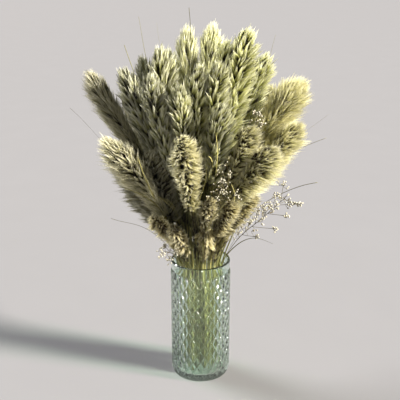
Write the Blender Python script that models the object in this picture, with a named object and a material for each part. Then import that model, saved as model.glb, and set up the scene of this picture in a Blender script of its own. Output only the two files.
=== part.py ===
"""Dried grass plumes, seed sprays and thin grass blades standing in a pressed-glass cylinder vase.

The table below gives each stem by hand: where its tip stands, how long and thick its head is, and how much
it arches. From that, settle() bends the stems clear of each other and of the glass, as they press on each
other in the real bunch. Lengths in the tables are millimetres, and the objects are built in metres.
The origin is the centre of the vase's base, +Z is up, and the bunch is seen from -Y.
"""

import cmath
import math
import random

import bpy
import numpy as np

MM = 0.001

# Vase: a straight cylinder, pressed with pointed oval lenses in staggered columns.
VASE_HEIGHT = 249.0
VASE_RADIUS = 60.0  # over the crowns of the lenses
LENS_RELIEF = 2.2  # crown of a lens above the groove round it
LENS_COLUMNS = 24  # lenses in one row round the vase
LENS_HALF_ROWS = 17
VASE_SIDES = 2 * LENS_COLUMNS
PATTERN_BOTTOM = 6.0
PATTERN_TOP = 230.0
RIM_RADIUS = 58.6
RIM_ROUND = 1.3
BASE_RADIUS = 53.0
FOOT_ROUND_TOP = 4.0  # the rounded edge of the base ends here
FOOT_ROUND_IN = 0.8  # and lies this far inside the grooves
SHOULDER_RISE = 3.0  # from the pattern to the plain band under the rim
INNER_RADIUS = 53.5
INNER_FLOOR = 14.0
FLOOR_FILLET = 6.0

# How the stems stand in the vase.
FOOT_SPREAD = 0.82  # a foot's distance from the axis, as a share of its stem's at the mouth
MOUTH_REACH = 48.0  # the outermost stem's distance from the axis at the mouth
FOOT_CLEARANCE = 0.3
WALL_CLEARANCE = 1.2
RIM_MARGIN = 8.0  # stems are held inside the glass up to this far above its rim
RIM_DEPTH = 2.0  # stems pass round a ring this far under the rim
TUFT_MARGIN = 3.0  # tufts and twigs stay inside the glass up to this far above its rim
LEAN_DEPTH = 60.0  # leans are measured from this far under the rim
NODE_CLEARANCE = 1.0
POINT_SPACING = 21.0  # between the points of a stem's course
MOUTH_HANDLE = 0.42  # lengths of a Bezier curve's handles, as shares of its span
TIP_HANDLE = 0.38
STRAIGHT_SAMPLES = 13
ARCH_SAMPLES = 40
TRACK_SAMPLES = 8
SIDE_HINT = (0.3, 1.0, 0.2)  # the first ring of a stem starts on this side

# How settle() bends them.
SETTLE_ROUNDS = 420
PAIR_ROUNDS = 12  # rounds between two searches for neighbours
PAIR_SLACK = 14.0  # how near the neighbours are that a search finds
BEND_HOLD = 0.15
BEND_RELEASE = 0.8  # share of that hold that is gone at the end
RIM_CHECKS = (0.0, 0.2, 0.4, 0.6, 0.8)  # shares of a step that are kept off the rim
TIP_HOLD = 0.02
LENGTH_HOLD = 0.45

# Heads.
STEM_RADIUS_FOOT = 2.0
STEM_RADIUS_NECK = 1.35
CORE_SHARE = 0.34  # radius of the dense middle of a head, as a share of the head's
ROOM_SHARE = 0.60  # how far heads press into each other: the share of a radius that they keep clear
NECK_SHARE = 0.3  # radius of a head at its neck, as a share of its fullest
SWELL_END = 0.6  # a head is fullest from here, as a share of its length
BLUNT_START = 0.8  # and rounds off from here
BLUNTNESS = 0.72
CORE_LEAST = 1.6  # least radius of the dense middle, in radii of the neck
CORE_GAP = 0.7  # how far short of the tip the dense middle stops, in leans of a tuft
TUFT_SEED = 11
TUFT_LIFT = 2.5  # least height of a tuft over the core
TUFT_LEAN = (0.80, 1.15)  # least and most lean, as shares of the table's
TUFT_REACH = (0.84, 1.0)  # least and most reach, as shares of the head's radius
TUFT_SWING = 0.16
BEND_TOLERANCE = 0.35
SHORTEST_STEP = 6.0
LONGEST_STEP = 120.0
GOLDEN_ANGLE = math.pi * (3.0 - math.sqrt(5.0))

# kind: (tufts round a ring, spacing of the rings, how far a tuft leans along the head, in mm)
TUFTS = {
    "plume": (6, 18.5, 20.0),
    "reed": (5, 22.5, 28.0),
    "tail": (5, 13.5, 13.0),
}

# name: (kind, tip x, y, z, head length, head radius, arch). A stem with arch 0 is nearly straight.
HEADS = {
    "plume_left_high": ("plume", -215, 40, 612, 175, 27, 0.04),
    "plume_left_mid": ("plume", -176, -70, 511, 175, 29, 0.13),
    "plume_left_mid_back": ("plume", -160, -22, 443, 135, 27, 0.13),
    "plume_left_low": ("plume", -144, 30, 380, 105, 26, 0.18),
    "plume_inner_left": ("plume", -88, -30, 478, 130, 25, 0.04),
    "plume_inner_right": ("plume", 52, -55, 468, 120, 23, 0.04),
    "plume_front": ("plume", -29, -150, 527, 150, 28, 0.11),
    "plume_right_high": ("plume", 194, 10, 602, 160, 31, 0.31),
    "plume_right_mid": ("plume", 186, -40, 527, 140, 29, 0.31),
    "plume_right_front": ("plume", 136, -100, 497, 165, 30, 0.13),
    "plume_right_inner": ("plume", 96, -90, 534, 130, 24, 0.18),
    "tail_right_low": ("tail", 104, -60, 398, 105, 22, 0.13),
    "tail_front_low": ("tail", 22, -130, 414, 80, 20, 0.13),
    "tail_front_low_right": ("tail", 60, -112, 400, 85, 20, 0.13),
    "tail_rim_front": ("tail", 14, -70, 341, 68, 15, 0.00),
    "tail_rim_left": ("tail", -90, -80, 362, 85, 20, 0.13),
    "tail_rim_left_front": ("tail", -53, -100, 349, 78, 19, 0.13),
    "reed_top_left": ("reed", -25, 30, 697, 190, 24, 0.00),
    "reed_crown_left": ("reed", -73, 0, 662, 180, 25, 0.00),
    "reed_shoulder_left": ("reed", -113, 60, 638, 170, 24, 0.04),
    "reed_outer_left": ("reed", -142, -10, 625, 160, 24, 0.09),
    "reed_top_middle": ("reed", 24, 80, 697, 190, 26, 0.00),
    "reed_crown_middle": ("reed", 50, 10, 672, 190, 24, 0.00),
    "reed_top_right": ("reed", 86, -5, 694, 200, 31, 0.00),
    "reed_front_right": ("reed", 32, -60, 642, 180, 26, 0.00),
    "reed_front_middle": ("reed", 0, -55, 636, 170, 24, 0.00),
    "reed_front_left": ("reed", -89, -60, 620, 170, 25, 0.04),
    "reed_inner_left": ("reed", -37, -80, 602, 150, 24, 0.00),
    "reed_shoulder_right": ("reed", 128, 70, 640, 180, 26, 0.07),
    "reed_middle": ("reed", 40, -100, 575, 140, 24, 0.00),
    "plume_back_left_high": ("plume", -150, 130, 568, 180, 30, 0.18),
    "plume_back_left": ("plume", -95, 190, 508, 180, 31, 0.22),
    "plume_back": ("plume", 10, 215, 488, 180, 32, 0.26),
    "plume_back_inner": ("plume", -22, 110, 530, 160, 28, 0.09),
    "plume_back_right_high": ("plume", 158, 120, 592, 165, 29, 0.18),
    "plume_back_right": ("plume", 112, 186, 522, 180, 31, 0.22),
    "plume_back_right_low": ("plume", 176, 92, 455, 155, 29, 0.22),
    "reed_back_left": ("reed", -62, 118, 645, 200, 29, 0.04),
    "reed_back_right": ("reed", 58, 145, 640, 200, 29, 0.04),
    "tail_back_low_left": ("tail", -80, 120, 392, 95, 21, 0.18),
    "tail_back_low_right": ("tail", 72, 130, 395, 95, 21, 0.18),
}

# name: (tip x, y, z, arch, width in the middle)
BLADES = {
    "blade_right_long": (231, -30, 547, 0.35, 1.6),
    "blade_right_upper": (233, -10, 498, 0.53, 1.4),
    "blade_right_level": (214, -60, 423, 0.57, 1.4),
    "blade_right_low": (134, -90, 318, 0.75, 1.4),
    "blade_left_top": (-112, 0, 713, 0.04, 1.6),
    "blade_left_inner": (-77, 15, 703, 0.00, 1.4),
    "blade_left_shoulder": (-135, -10, 665, 0.09, 1.4),
    "blade_top": (-22, 20, 728, 0.00, 1.4),
    "blade_left_long": (-238, -30, 554, 0.26, 1.4),
    "blade_left_low": (-164, -75, 362, 0.31, 1.6),
    "blade_top_right": (140, 30, 678, 0.00, 1.4),
    "blade_back_left": (-170, 170, 470, 0.48, 1.4),
    "blade_back_right": (150, 195, 560, 0.31, 1.4),
}

# name: (tip x, y, z, length of the branched top, its radius, arch, branches)
SPRAYS = {
    "spray_right": (158, -82, 408, 140, 42, 0.11, 15),
    "spray_right_high": (104, -62, 556, 90, 18, 0.00, 6),
    "spray_front": (50, -150, 462, 110, 26, 0.00, 9),
    "spray_rim_left": (-74, -90, 304, 58, 17, 0.11, 4),
    "spray_back": (-20, 180, 415, 110, 26, 0.13, 8),
}
BUD_RADIUS = 1.9
BUD_LENGTH = 5.5
BUD_STALK = 0.25  # shares of a bud's length: where its stalk ends
BUD_BELLY = 0.6  # and where it is thickest
SIDE_BUD_LEAN = 0.4
SPRAY_STEM_RADIUS = 0.9
TWIG_RADIUS = 0.5
TWIG_FOOT = 2.6  # length of the stem's face that a twig grows from
TWIG_START = 2.0  # first straight out of the face, as far as this
TWIG_ELBOW = (0.43, 0.4)  # where a twig bends, as shares of its reach and rise
TWIG_TOP = 4.5  # the last stretch, with a bud on each side
TWIG_TURN = 0.4
TWIG_SPLAY = 1.5  # how far a twig keeps to the way its face points
TWIG_REACH = (0.74, 0.94)  # least and most reach, as shares of the spray's radius
TWIG_SHRINK = 0.35
TWIG_RISE = 0.9
SHORTEST_TWIG = 8.0
SPRAY_SEED = 7
RING_HINT = (0.31, 0.22, 0.93)
SPRAY_ROOM_SHARE = 0.45
SPRAY_ROOM_ENDS = 0.15

# Colours, as linear values for the Principled shader: base colour and roughness.
FINISHES = {
    "glass": ((0.62, 0.74, 0.66), 0.05),
    "plume": ((0.56, 0.49, 0.28), 0.85),
    "reed": ((0.62, 0.57, 0.30), 0.75),
    "tail": ((0.58, 0.49, 0.26), 0.85),
    "blade": ((0.24, 0.25, 0.10), 0.7),
    "spray": ((0.70, 0.60, 0.48), 0.8),
}


def unit(vector):
    return vector / max(np.linalg.norm(vector), 1e-9)


def clear_scene():
    for obj in list(bpy.data.objects):
        bpy.data.objects.remove(obj)


def finish_for(kind):
    material = bpy.data.materials.get(kind)
    if material is None:
        colour, roughness = FINISHES[kind]
        material = bpy.data.materials.new(kind)
        material.use_nodes = True
        shader = material.node_tree.nodes["Principled BSDF"]
        shader.inputs["Base Color"].default_value = (*colour, 1.0)
        shader.inputs["Roughness"].default_value = roughness
        shader.inputs["Metallic"].default_value = 0.0
        if kind == "glass":
            shader.inputs["Transmission Weight"].default_value = 1.0
    return material


def add_object(name, points, faces, kind):
    """One named object from points in millimetres."""
    mesh = bpy.data.meshes.new(name)
    mesh.from_pydata([tuple(float(c) * MM for c in p) for p in points], [], faces)
    mesh.validate()
    mesh.materials.append(finish_for(kind))
    obj = bpy.data.objects.new(name, mesh)
    bpy.context.scene.collection.objects.link(obj)
    return obj


# The vase


def vase_ring(radii, z):
    """One ring of the vase, with a radius for every side in turn."""
    ring = []
    for side in range(VASE_SIDES):
        angle = 2 * math.pi * side / VASE_SIDES
        radius = radii[side % len(radii)]
        ring.append((radius * math.cos(angle), radius * math.sin(angle), z))
    return ring


def vase_rings():
    """Rings from the base, up the lenses, over the rim and down to the inside floor."""
    groove = VASE_RADIUS - LENS_RELIEF
    rings = [vase_ring([BASE_RADIUS], 0.0), vase_ring([groove - FOOT_ROUND_IN], FOOT_ROUND_TOP)]
    rings.append(vase_ring([groove], PATTERN_BOTTOM))
    for row in range(1, LENS_HALF_ROWS):
        z = PATTERN_BOTTOM + row * (PATTERN_TOP - PATTERN_BOTTOM) / LENS_HALF_ROWS
        rings.append(vase_ring([groove, VASE_RADIUS] if row % 2 else [VASE_RADIUS, groove], z))
    return rings + [
        vase_ring([groove], PATTERN_TOP),
        vase_ring([RIM_RADIUS], PATTERN_TOP + SHOULDER_RISE),
        vase_ring([RIM_RADIUS], VASE_HEIGHT - RIM_ROUND),
        vase_ring([RIM_RADIUS - RIM_ROUND], VASE_HEIGHT),
        vase_ring([INNER_RADIUS + RIM_ROUND], VASE_HEIGHT),
        vase_ring([INNER_RADIUS], VASE_HEIGHT - RIM_ROUND),
        vase_ring([INNER_RADIUS], INNER_FLOOR + FLOOR_FILLET),
        vase_ring([INNER_RADIUS - FLOOR_FILLET], INNER_FLOOR),
    ]


def build_vase():
    sides = VASE_SIDES
    rings = vase_rings()
    points = [p for ring in rings for p in ring]
    faces = [tuple(reversed(range(sides)))]
    for level in range(len(rings) - 1):
        for side in range(sides):
            after = (side + 1) % sides
            low, high = level * sides, (level + 1) * sides
            quad = (low + side, low + after, high + after, high + side)
            # Each patch of the pattern folds along the groove between two lenses.
            if (side + level) % 2 == 0:
                faces += [(quad[0], quad[1], quad[3]), (quad[1], quad[2], quad[3])]
            else:
                faces += [(quad[0], quad[1], quad[2]), (quad[0], quad[2], quad[3])]
    last = (len(rings) - 1) * sides
    faces.append(tuple(range(last, last + sides)))
    return add_object("vase", points, faces, "glass")


# The stems' courses


def head_radius_at(share, radius):
    """Radius of a head at a share of its length, from its neck at 0 to its tip at 1."""
    if share <= 0.0:
        return STEM_RADIUS_NECK
    swell = math.sin(0.5 * math.pi * min(share / SWELL_END, 1.0))
    blunt = math.sqrt(1.0 - BLUNTNESS * max(0.0, (share - BLUNT_START) / (1.0 - BLUNT_START)) ** 2)
    return max(STEM_RADIUS_NECK, radius * (NECK_SHARE + (1.0 - NECK_SHARE) * swell) * blunt)


def course(tip, arch, mouth):
    """Points from a foot on the vase's floor, through the mouth, to the tip on a Bezier curve."""
    foot = np.array([mouth[0] * FOOT_SPREAD, mouth[1] * FOOT_SPREAD, INNER_FLOOR + FOOT_CLEARANCE])
    span = np.linalg.norm(tip - mouth)
    droop = np.array([0.0, 0.0, arch * span])
    handle = mouth + MOUTH_HANDLE * span * unit(unit(mouth - foot) + unit(tip - mouth))
    approach = tip - TIP_HANDLE * span * unit(tip - mouth - droop)
    run = [foot + (mouth - foot) * t for t in np.linspace(0.0, 1.0, STRAIGHT_SAMPLES)]
    for t in np.linspace(0.0, 1.0, ARCH_SAMPLES)[1:]:
        s = 1.0 - t
        run.append(s**3 * mouth + 3 * s * s * t * handle + 3 * s * t * t * approach + t**3 * tip)
    run = np.array(run)
    lengths = np.concatenate([[0.0], np.cumsum(np.linalg.norm(np.diff(run, axis=0), axis=1))])
    count = max(4, round(lengths[-1] / POINT_SPACING))
    even = np.linspace(0.0, lengths[-1], count + 1)
    return np.column_stack([np.interp(even, lengths, run[:, axis]) for axis in range(3)])


def mouth_points(tips):
    """Where each stem crosses the mouth: towards its tip, the more it leans the further out."""
    leans = [math.atan2(math.hypot(t[0], t[1]), t[2] - VASE_HEIGHT + LEAN_DEPTH) for t in tips]
    order = sorted(range(len(tips)), key=lambda i: leans[i])
    found = [None] * len(tips)
    for rank, i in enumerate(order):
        reach = MOUTH_REACH * math.sqrt((rank + 0.5) / len(tips))
        way = unit(np.array(tips[i][:2], float))
        found[i] = np.array([way[0] * reach, way[1] * reach, VASE_HEIGHT])
    return found


def radii_along(points, head_length, head_radius, foot_radius, spread):
    """Room that a stem and its head keep clear at each point."""
    steps = np.linalg.norm(np.diff(points, axis=0), axis=1)
    along = np.concatenate([[0.0], np.cumsum(steps)])
    neck = along[-1] - head_length
    radii = []
    for s in along:
        if s < neck:
            radii.append(foot_radius)
        else:
            radii.append(max(foot_radius, spread((s - neck) / head_length, head_radius)))
    return np.array(radii)


def closest_shares(start_a, way_a, start_b, way_b):
    """Shares along pairs of segments where they come closest."""
    gap = start_a - start_b
    aa = (way_a * way_a).sum(1)
    bb = (way_b * way_b).sum(1)
    ab = (way_a * way_b).sum(1)
    ag = (way_a * gap).sum(1)
    bg = (way_b * gap).sum(1)
    spread = aa * bb - ab * ab
    s = np.clip(np.where(spread > 1e-6, (ab * bg - ag * bb) / np.maximum(spread, 1e-6), 0.5), 0, 1)
    t = np.clip((ab * s + bg) / bb, 0, 1)
    s = np.clip((ab * t - ag) / aa, 0, 1)
    return s, t


class Bunch:
    """All the stems as chains of points, each with the room that it keeps clear."""

    def __init__(self, courses, radii):
        sizes = [len(c) for c in courses]
        self.points = np.concatenate(courses)
        self.room = np.concatenate(radii)
        self.owner = np.repeat(np.arange(len(courses)), sizes)
        self.ends = np.cumsum(sizes)
        self.feet = self.ends - sizes
        self.tips = self.ends - 1
        every = np.arange(len(self.points))
        self.first = every[~np.isin(every, self.tips)]
        self.inner = self.first[~np.isin(self.first, self.feet)]
        self.wanted = self.points[self.tips].copy()
        self.lengths = np.linalg.norm(self.points[self.first + 1] - self.points[self.first], axis=1)
        self.bends = self.bend_now()

    def bend_now(self):
        return self.points[self.inner - 1] + self.points[self.inner + 1] - 2 * self.points[self.inner]

    def near_pairs(self):
        """Steps of different stems that lie near each other."""
        low, high = self.first, self.first + 1
        middle = (self.points[low] + self.points[high]) / 2
        half = np.linalg.norm(self.points[high] - self.points[low], axis=1) / 2
        reach = np.maximum(self.room[low], self.room[high]) + half
        i, j = np.triu_indices(len(low), 1)
        apart = self.owner[low[i]] != self.owner[low[j]]
        i, j = i[apart], j[apart]
        near = np.linalg.norm(middle[i] - middle[j], axis=1) < reach[i] + reach[j] + PAIR_SLACK
        return low[i[near]], low[j[near]]

    def part_neighbours(self, a, b):
        """Pushes steps a and b of different stems apart where their rooms overlap."""
        points, room = self.points, self.room
        s, t = closest_shares(points[a], points[a + 1] - points[a], points[b], points[b + 1] - points[b])
        at_a = points[a] + s[:, None] * (points[a + 1] - points[a])
        at_b = points[b] + t[:, None] * (points[b + 1] - points[b])
        distance = np.maximum(np.linalg.norm(at_a - at_b, axis=1), 1e-6)
        need = room[a] * (1 - s) + room[a + 1] * s + room[b] * (1 - t) + room[b + 1] * t
        short = need + NODE_CLEARANCE - distance
        hit = short > 0
        a, b, s, t = a[hit], b[hit], s[hit], t[hit]
        push = (at_a - at_b)[hit] * (0.5 * short / distance)[hit, None]
        moves = np.zeros_like(points)
        counts = np.zeros(len(points))
        for index, weight, sign in ((a, 1 - s, 1), (a + 1, s, 1), (b, 1 - t, -1), (b + 1, t, -1)):
            np.add.at(moves, index, sign * push * weight[:, None])
            np.add.at(counts, index, weight)
        points += moves / np.maximum(counts, 1.0)[:, None]

    def hold_shape(self, calm):
        """Draws each stem back to its own bends, tip and length, the bends less and less."""
        hold = BEND_HOLD * (1.0 - BEND_RELEASE * calm)
        self.points[self.inner] += hold * (self.bend_now() - self.bends)
        self.points[self.tips] += TIP_HOLD * (1.0 - calm) * (self.wanted - self.points[self.tips])
        for _ in range(2):
            step = self.points[self.first + 1] - self.points[self.first]
            size = np.maximum(np.linalg.norm(step, axis=1), 1e-6)
            fix = step * (LENGTH_HOLD * (size - self.lengths) / size)[:, None]
            np.add.at(self.points, self.first, fix)
            np.add.at(self.points, self.first + 1, -fix)

    def keep_in_vase(self):
        """Feet stay on the glass floor, and stems inside the glass as far up as its rim."""
        self.points[self.feet, 2] = INNER_FLOOR + FOOT_CLEARANCE
        out = np.hypot(self.points[:, 0], self.points[:, 1])
        limit = np.maximum(INNER_RADIUS - WALL_CLEARANCE - self.room, WALL_CLEARANCE)
        limit[self.feet] = INNER_RADIUS - FLOOR_FILLET - 1.5 * STEM_RADIUS_FOOT
        over = (out > limit) & (self.points[:, 2] < VASE_HEIGHT + RIM_MARGIN)
        self.points[over, :2] *= (limit[over] / out[over])[:, None]

    def keep_off_rim(self):
        """Stems that lean far out pass over the rim, not through it."""
        middle = 0.5 * (INNER_RADIUS + RIM_RADIUS)
        keep = 0.5 * (RIM_RADIUS - INNER_RADIUS) + WALL_CLEARANCE
        low = self.first[np.abs(self.points[self.first, 2] - VASE_HEIGHT) < 2.0 * POINT_SPACING]
        for share in RIM_CHECKS:
            spots = (1.0 - share) * self.points[low] + share * self.points[low + 1]
            out = np.hypot(spots[:, 0], spots[:, 1])
            rise = spots[:, 2] - VASE_HEIGHT + RIM_DEPTH
            lack = np.maximum(keep + self.room[low] - np.hypot(out - middle, rise), 0.0)
            lift = np.where(rise > 0.0, 0.5 * lack, 0.0)
            inward = np.where(rise > 0.0, 0.0, -0.5 * lack)
            shift = np.column_stack([inward[:, None] * spots[:, :2] / out[:, None], lift])
            np.add.at(self.points, low, shift)
            np.add.at(self.points, low + 1, shift)

    def settle(self):
        """Bends the stems clear of each other and of the glass, and gives their new courses."""
        for turn in range(SETTLE_ROUNDS):
            if turn % PAIR_ROUNDS == 0:
                near = self.near_pairs()
            self.part_neighbours(*near)
            self.hold_shape(turn / SETTLE_ROUNDS)
            self.keep_in_vase()
            self.keep_off_rim()
        return [self.points[a:b] for a, b in zip(self.feet, self.ends)]


class Crowd:
    """The settled stems, and whose side of the middle between two neighbours a point is on."""

    def __init__(self, courses, radii):
        self.starts = np.concatenate([c[:-1] for c in courses])
        self.ways = np.concatenate([c[1:] - c[:-1] for c in courses])
        self.low = np.concatenate([r[:-1] for r in radii])
        self.high = np.concatenate([r[1:] for r in radii])
        self.owner = np.concatenate([np.full(len(c) - 1, n) for n, c in enumerate(courses)])

    def owns(self, index, point, spare):
        """True where a point is nearer to its own stem's room than to any other's, with some to spare."""
        off = point - self.starts
        share = np.clip((off * self.ways).sum(1) / (self.ways**2).sum(1), 0.0, 1.0)
        distance = np.linalg.norm(off - share[:, None] * self.ways, axis=1)
        outside = distance - self.low * (1.0 - share) - self.high * share
        mine = self.owner == index
        in_glass = point[2] < VASE_HEIGHT + TUFT_MARGIN
        if in_glass and math.hypot(point[0], point[1]) > INNER_RADIUS - WALL_CLEARANCE:
            return False
        return outside[~mine].min() > max(outside[mine].min(), 0.0) + NODE_CLEARANCE + spare

    def reach(self, index, start, end, spare=0.0):
        """How much of the way to an end a tuft or twig can go before it meets a neighbour's."""
        for share in np.linspace(1.0, 0.0, 21):
            if self.owns(index, start + share * (end - start), spare):
                return share
        return 0.0


# Meshes along a course


class Track:
    """A course as a smooth curve, by the distance along it."""

    def __init__(self, points):
        ghost = np.vstack([2 * points[0] - points[1], points, 2 * points[-1] - points[-2]])
        t = np.linspace(0.0, 1.0, TRACK_SAMPLES, endpoint=False)[:, None]
        fine = []
        for p0, p1, p2, p3 in zip(ghost, ghost[1:], ghost[2:], ghost[3:]):
            bent = (2 * p0 - 5 * p1 + 4 * p2 - p3) * t**2 + (3 * p1 - p0 - 3 * p2 + p3) * t**3
            fine.append(p1 + 0.5 * ((p2 - p0) * t + bent))
        self.points = np.vstack(fine + [points[-1:]])
        steps = np.linalg.norm(np.diff(self.points, axis=0), axis=1)
        self.along = np.concatenate([[0.0], np.cumsum(steps)])
        self.length = self.along[-1]

    def at(self, place):
        return np.stack([np.interp(place, self.along, self.points[:, k]) for k in range(3)], axis=-1)


def frames(points):
    """The way on, a side and a second side at each point, with no more turn than the bends need."""
    ways = np.gradient(points, axis=0)
    ways /= np.linalg.norm(ways, axis=1)[:, None]
    side = unit(np.cross(ways[0], SIDE_HINT))
    sides, seconds = [], []
    for way in ways:
        side = unit(side - way * side.dot(way))
        sides.append(side)
        seconds.append(np.cross(way, side))
    return ways, np.array(sides), np.array(seconds)


def ring_at(centre, side, second, radius, count, turn):
    angles = [2 * math.pi * (i + turn) / count for i in range(count)]
    return [centre + radius * (math.cos(a) * side + math.sin(a) * second) for a in angles]


def bridge(low, low_count, high, high_count, turn_low=0.0, turn_high=0.0):
    """Triangles between two rings, whichever counts they have, going round both together."""
    faces = []
    i = j = 0
    while i < low_count or j < high_count:
        next_low = (i + 1 + turn_low) / low_count
        next_high = (j + 1 + turn_high) / high_count
        a, b = low + i % low_count, high + j % high_count
        if j >= high_count or (i < low_count and next_low <= next_high):
            faces.append((a, low + (i + 1) % low_count, b))
            i += 1
        else:
            faces.append((a, high + (j + 1) % high_count, b))
            j += 1
    return faces


def cap(verts, faces, ring, point):
    """Closes a ring with a point."""
    verts.append(point)
    peak = len(verts) - 1
    faces += [(ring[i], ring[(i + 1) % len(ring)], peak) for i in range(len(ring))]


def stem_places(track, end):
    """Distances from the foot where a stem has a ring: the closer together, the more it bends."""
    low, places = 0, [0.0]
    last = int(np.searchsorted(track.along, end)) - 1
    while low < last:
        high = low + 1
        while high < last:
            span = track.points[low : high + 2]
            chord = unit(span[-1] - span[0])
            off = span - span[0]
            sag = np.linalg.norm(off - np.outer(off @ chord, chord), axis=1).max()
            if sag > BEND_TOLERANCE or track.along[high + 1] - track.along[low] > LONGEST_STEP:
                break
            high += 1
        low = high
        places.append(track.along[low])
    if end - places[-1] < SHORTEST_STEP:
        places.pop()
    return places + [end]


def core_radius_at(share, head_radius):
    return max(CORE_SHARE * head_radius_at(share, head_radius), CORE_LEAST * STEM_RADIUS_NECK)


def build_core(track, places, stem_steps, around, head_length, head_radius):
    """The stem and the slim middle of the head. Gives the corners, the plain faces and the tufted ones."""
    centres = track.at(places)
    _, sides, seconds = frames(centres)
    neck = track.length - head_length
    verts, plain, tufted, rings = [], [(2, 1, 0)], [], []
    for n, centre in enumerate(centres[:-1]):
        if n < stem_steps:
            radius = STEM_RADIUS_FOOT + (STEM_RADIUS_NECK - STEM_RADIUS_FOOT) * places[n] / neck
            ring = (len(verts), 3, 0.0)
        else:
            radius = core_radius_at((places[n] - neck) / head_length, head_radius)
            ring = (len(verts), around, 0.5 * ((n - stem_steps) % 2))
        rings.append(ring)
        verts += ring_at(centre, sides[n], seconds[n], radius, ring[1], ring[2])
    for n, (low, high) in enumerate(zip(rings, rings[1:])):
        found = bridge(low[0], low[1], high[0], high[1], low[2], high[2])
        if n < stem_steps:
            plain += found
        else:
            tufted += found
    last = range(rings[-1][0], rings[-1][0] + around)
    cap(verts, tufted, list(last), centres[-1])
    return verts, plain, tufted


def build_plume(name, kind, track, head_length, head_radius, index, crowd, rng):
    """A stem and, round the end of it, tufts that rise from a slim core and lean to the tip."""
    around, spacing, lean = TUFTS[kind]
    neck = track.length - head_length
    core_end = track.length - CORE_GAP * lean
    rounds = max(3, round((core_end - neck) / spacing))
    places = stem_places(track, neck)
    stem_steps = len(places)
    places += [neck + (core_end - neck) * (i + 0.5) / rounds for i in range(rounds)]
    places.append(core_end)
    verts, faces, tufted = build_core(
        track, np.array(places), stem_steps, around, head_length, head_radius
    )
    for face in tufted:
        middle = sum(verts[i] for i in face) / 3.0
        near = np.linalg.norm(track.points - middle, axis=1).argmin()
        foot = track.points[near]
        place = min(track.along[near] + lean * rng.uniform(*TUFT_LEAN), track.length)
        centre = track.at(place)
        way = unit(centre - foot) if place - track.along[near] > 1.0 else unit(foot - track.points[near - 1])
        outward = middle - foot
        outward = unit(outward - way * outward.dot(way) + 1e-6)
        outward = unit(outward + TUFT_SWING * (rng.random() - 0.5) * np.cross(way, outward))
        share = (place - neck) / head_length
        far = head_radius_at(share, head_radius) * rng.uniform(*TUFT_REACH)
        start = middle + TUFT_LIFT * outward
        end = centre + outward * max(far, core_radius_at(share, head_radius) + TUFT_LIFT)
        cap(verts, faces, face, start + crowd.reach(index, start, end) * (end - start))
    return add_object(name, verts, faces, kind)


def build_blade(name, track, width):
    """A thin grass blade: three-cornered, widest at its foot, drawn out to a narrow end."""
    places = stem_places(track, track.length)
    centres = track.at(places)
    _, sides, seconds = frames(centres)
    verts, faces = [], [(2, 1, 0)]
    for n, centre in enumerate(centres):
        radius = 0.5 * width * (1.0 - 0.5 * places[n] / track.length)
        verts += ring_at(centre, sides[n], seconds[n], radius, 3, 0.0)
        if n:
            faces += bridge(3 * (n - 1), 3, 3 * n, 3)
    last = 3 * (len(centres) - 1)
    faces.append((last, last + 1, last + 2))
    return add_object(name, verts, faces, "blade")


def fitted_ring(centre, way, radius, corners):
    """Three corners round a point, turned to lie as near as they can to three given ones."""
    side = unit(np.cross(way, RING_HINT))
    second = np.cross(way, side)
    pull = 0.0
    for k, corner in enumerate(corners):
        off = corner - centre
        pull += complex(off.dot(side), off.dot(second)) * cmath.exp(-2j * math.pi * k / 3)
    return ring_at(centre, side, second, radius, 3, 3 * cmath.phase(pull) / (2 * math.pi))


def grow(verts, faces, face, path, radii):
    """Draws a triangle out into a branch along a path, and gives the branch's rings of three corners."""
    rings = [list(face)]
    for n, centre in enumerate(path):
        way = unit(path[min(n + 1, len(path) - 1)] - path[max(n - 1, 0)])
        ring = rings[-1]
        first = len(verts)
        verts += fitted_ring(centre, way, radii[n], [verts[i] for i in ring])
        found = [first, first + 1, first + 2]
        for k in range(3):
            turn = (k + 1) % 3
            faces.append((ring[k], ring[turn], found[turn]))
            faces.append((ring[k], found[turn], found[k]))
        rings.append(found)
    return rings


def normal_of(verts, face):
    a, b, c = (verts[i] for i in face)
    return unit(np.cross(b - a, c - a))


def put_bud(verts, faces, face, way):
    """Draws a triangle out into a short stalk and a bud."""
    foot = sum(verts[i] for i in face) / 3.0
    path = [foot + way * BUD_LENGTH * BUD_STALK, foot + way * BUD_LENGTH * BUD_BELLY]
    rings = grow(verts, faces, face, path, [TWIG_RADIUS, BUD_RADIUS])
    cap(verts, faces, rings[-1], foot + way * BUD_LENGTH)


def put_twig(verts, faces, face, outward, way, reach, rise):
    """A twig from one face of the stem, with a bud at its end and one on each side of the end."""
    start = sum(verts[i] for i in face) / 3.0
    end = start + outward * reach + way * rise
    elbow = start + outward * reach * TWIG_ELBOW[0] + way * rise * TWIG_ELBOW[1]
    ahead = unit(end - elbow)
    path = [start + TWIG_START * normal_of(verts, face), elbow, end - TWIG_TOP * ahead, end]
    faces.remove(face)
    rings = grow(verts, faces, face, path, [TWIG_RADIUS] * 4)
    below, above = rings[-2], rings[-1]
    put_bud(verts, faces, tuple(above), ahead)
    for k in range(2):
        side_face = (below[k], below[k + 1], above[k + 1])
        faces.remove(side_face)
        put_bud(verts, faces, side_face, unit(normal_of(verts, side_face) + SIDE_BUD_LEAN * ahead))


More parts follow.
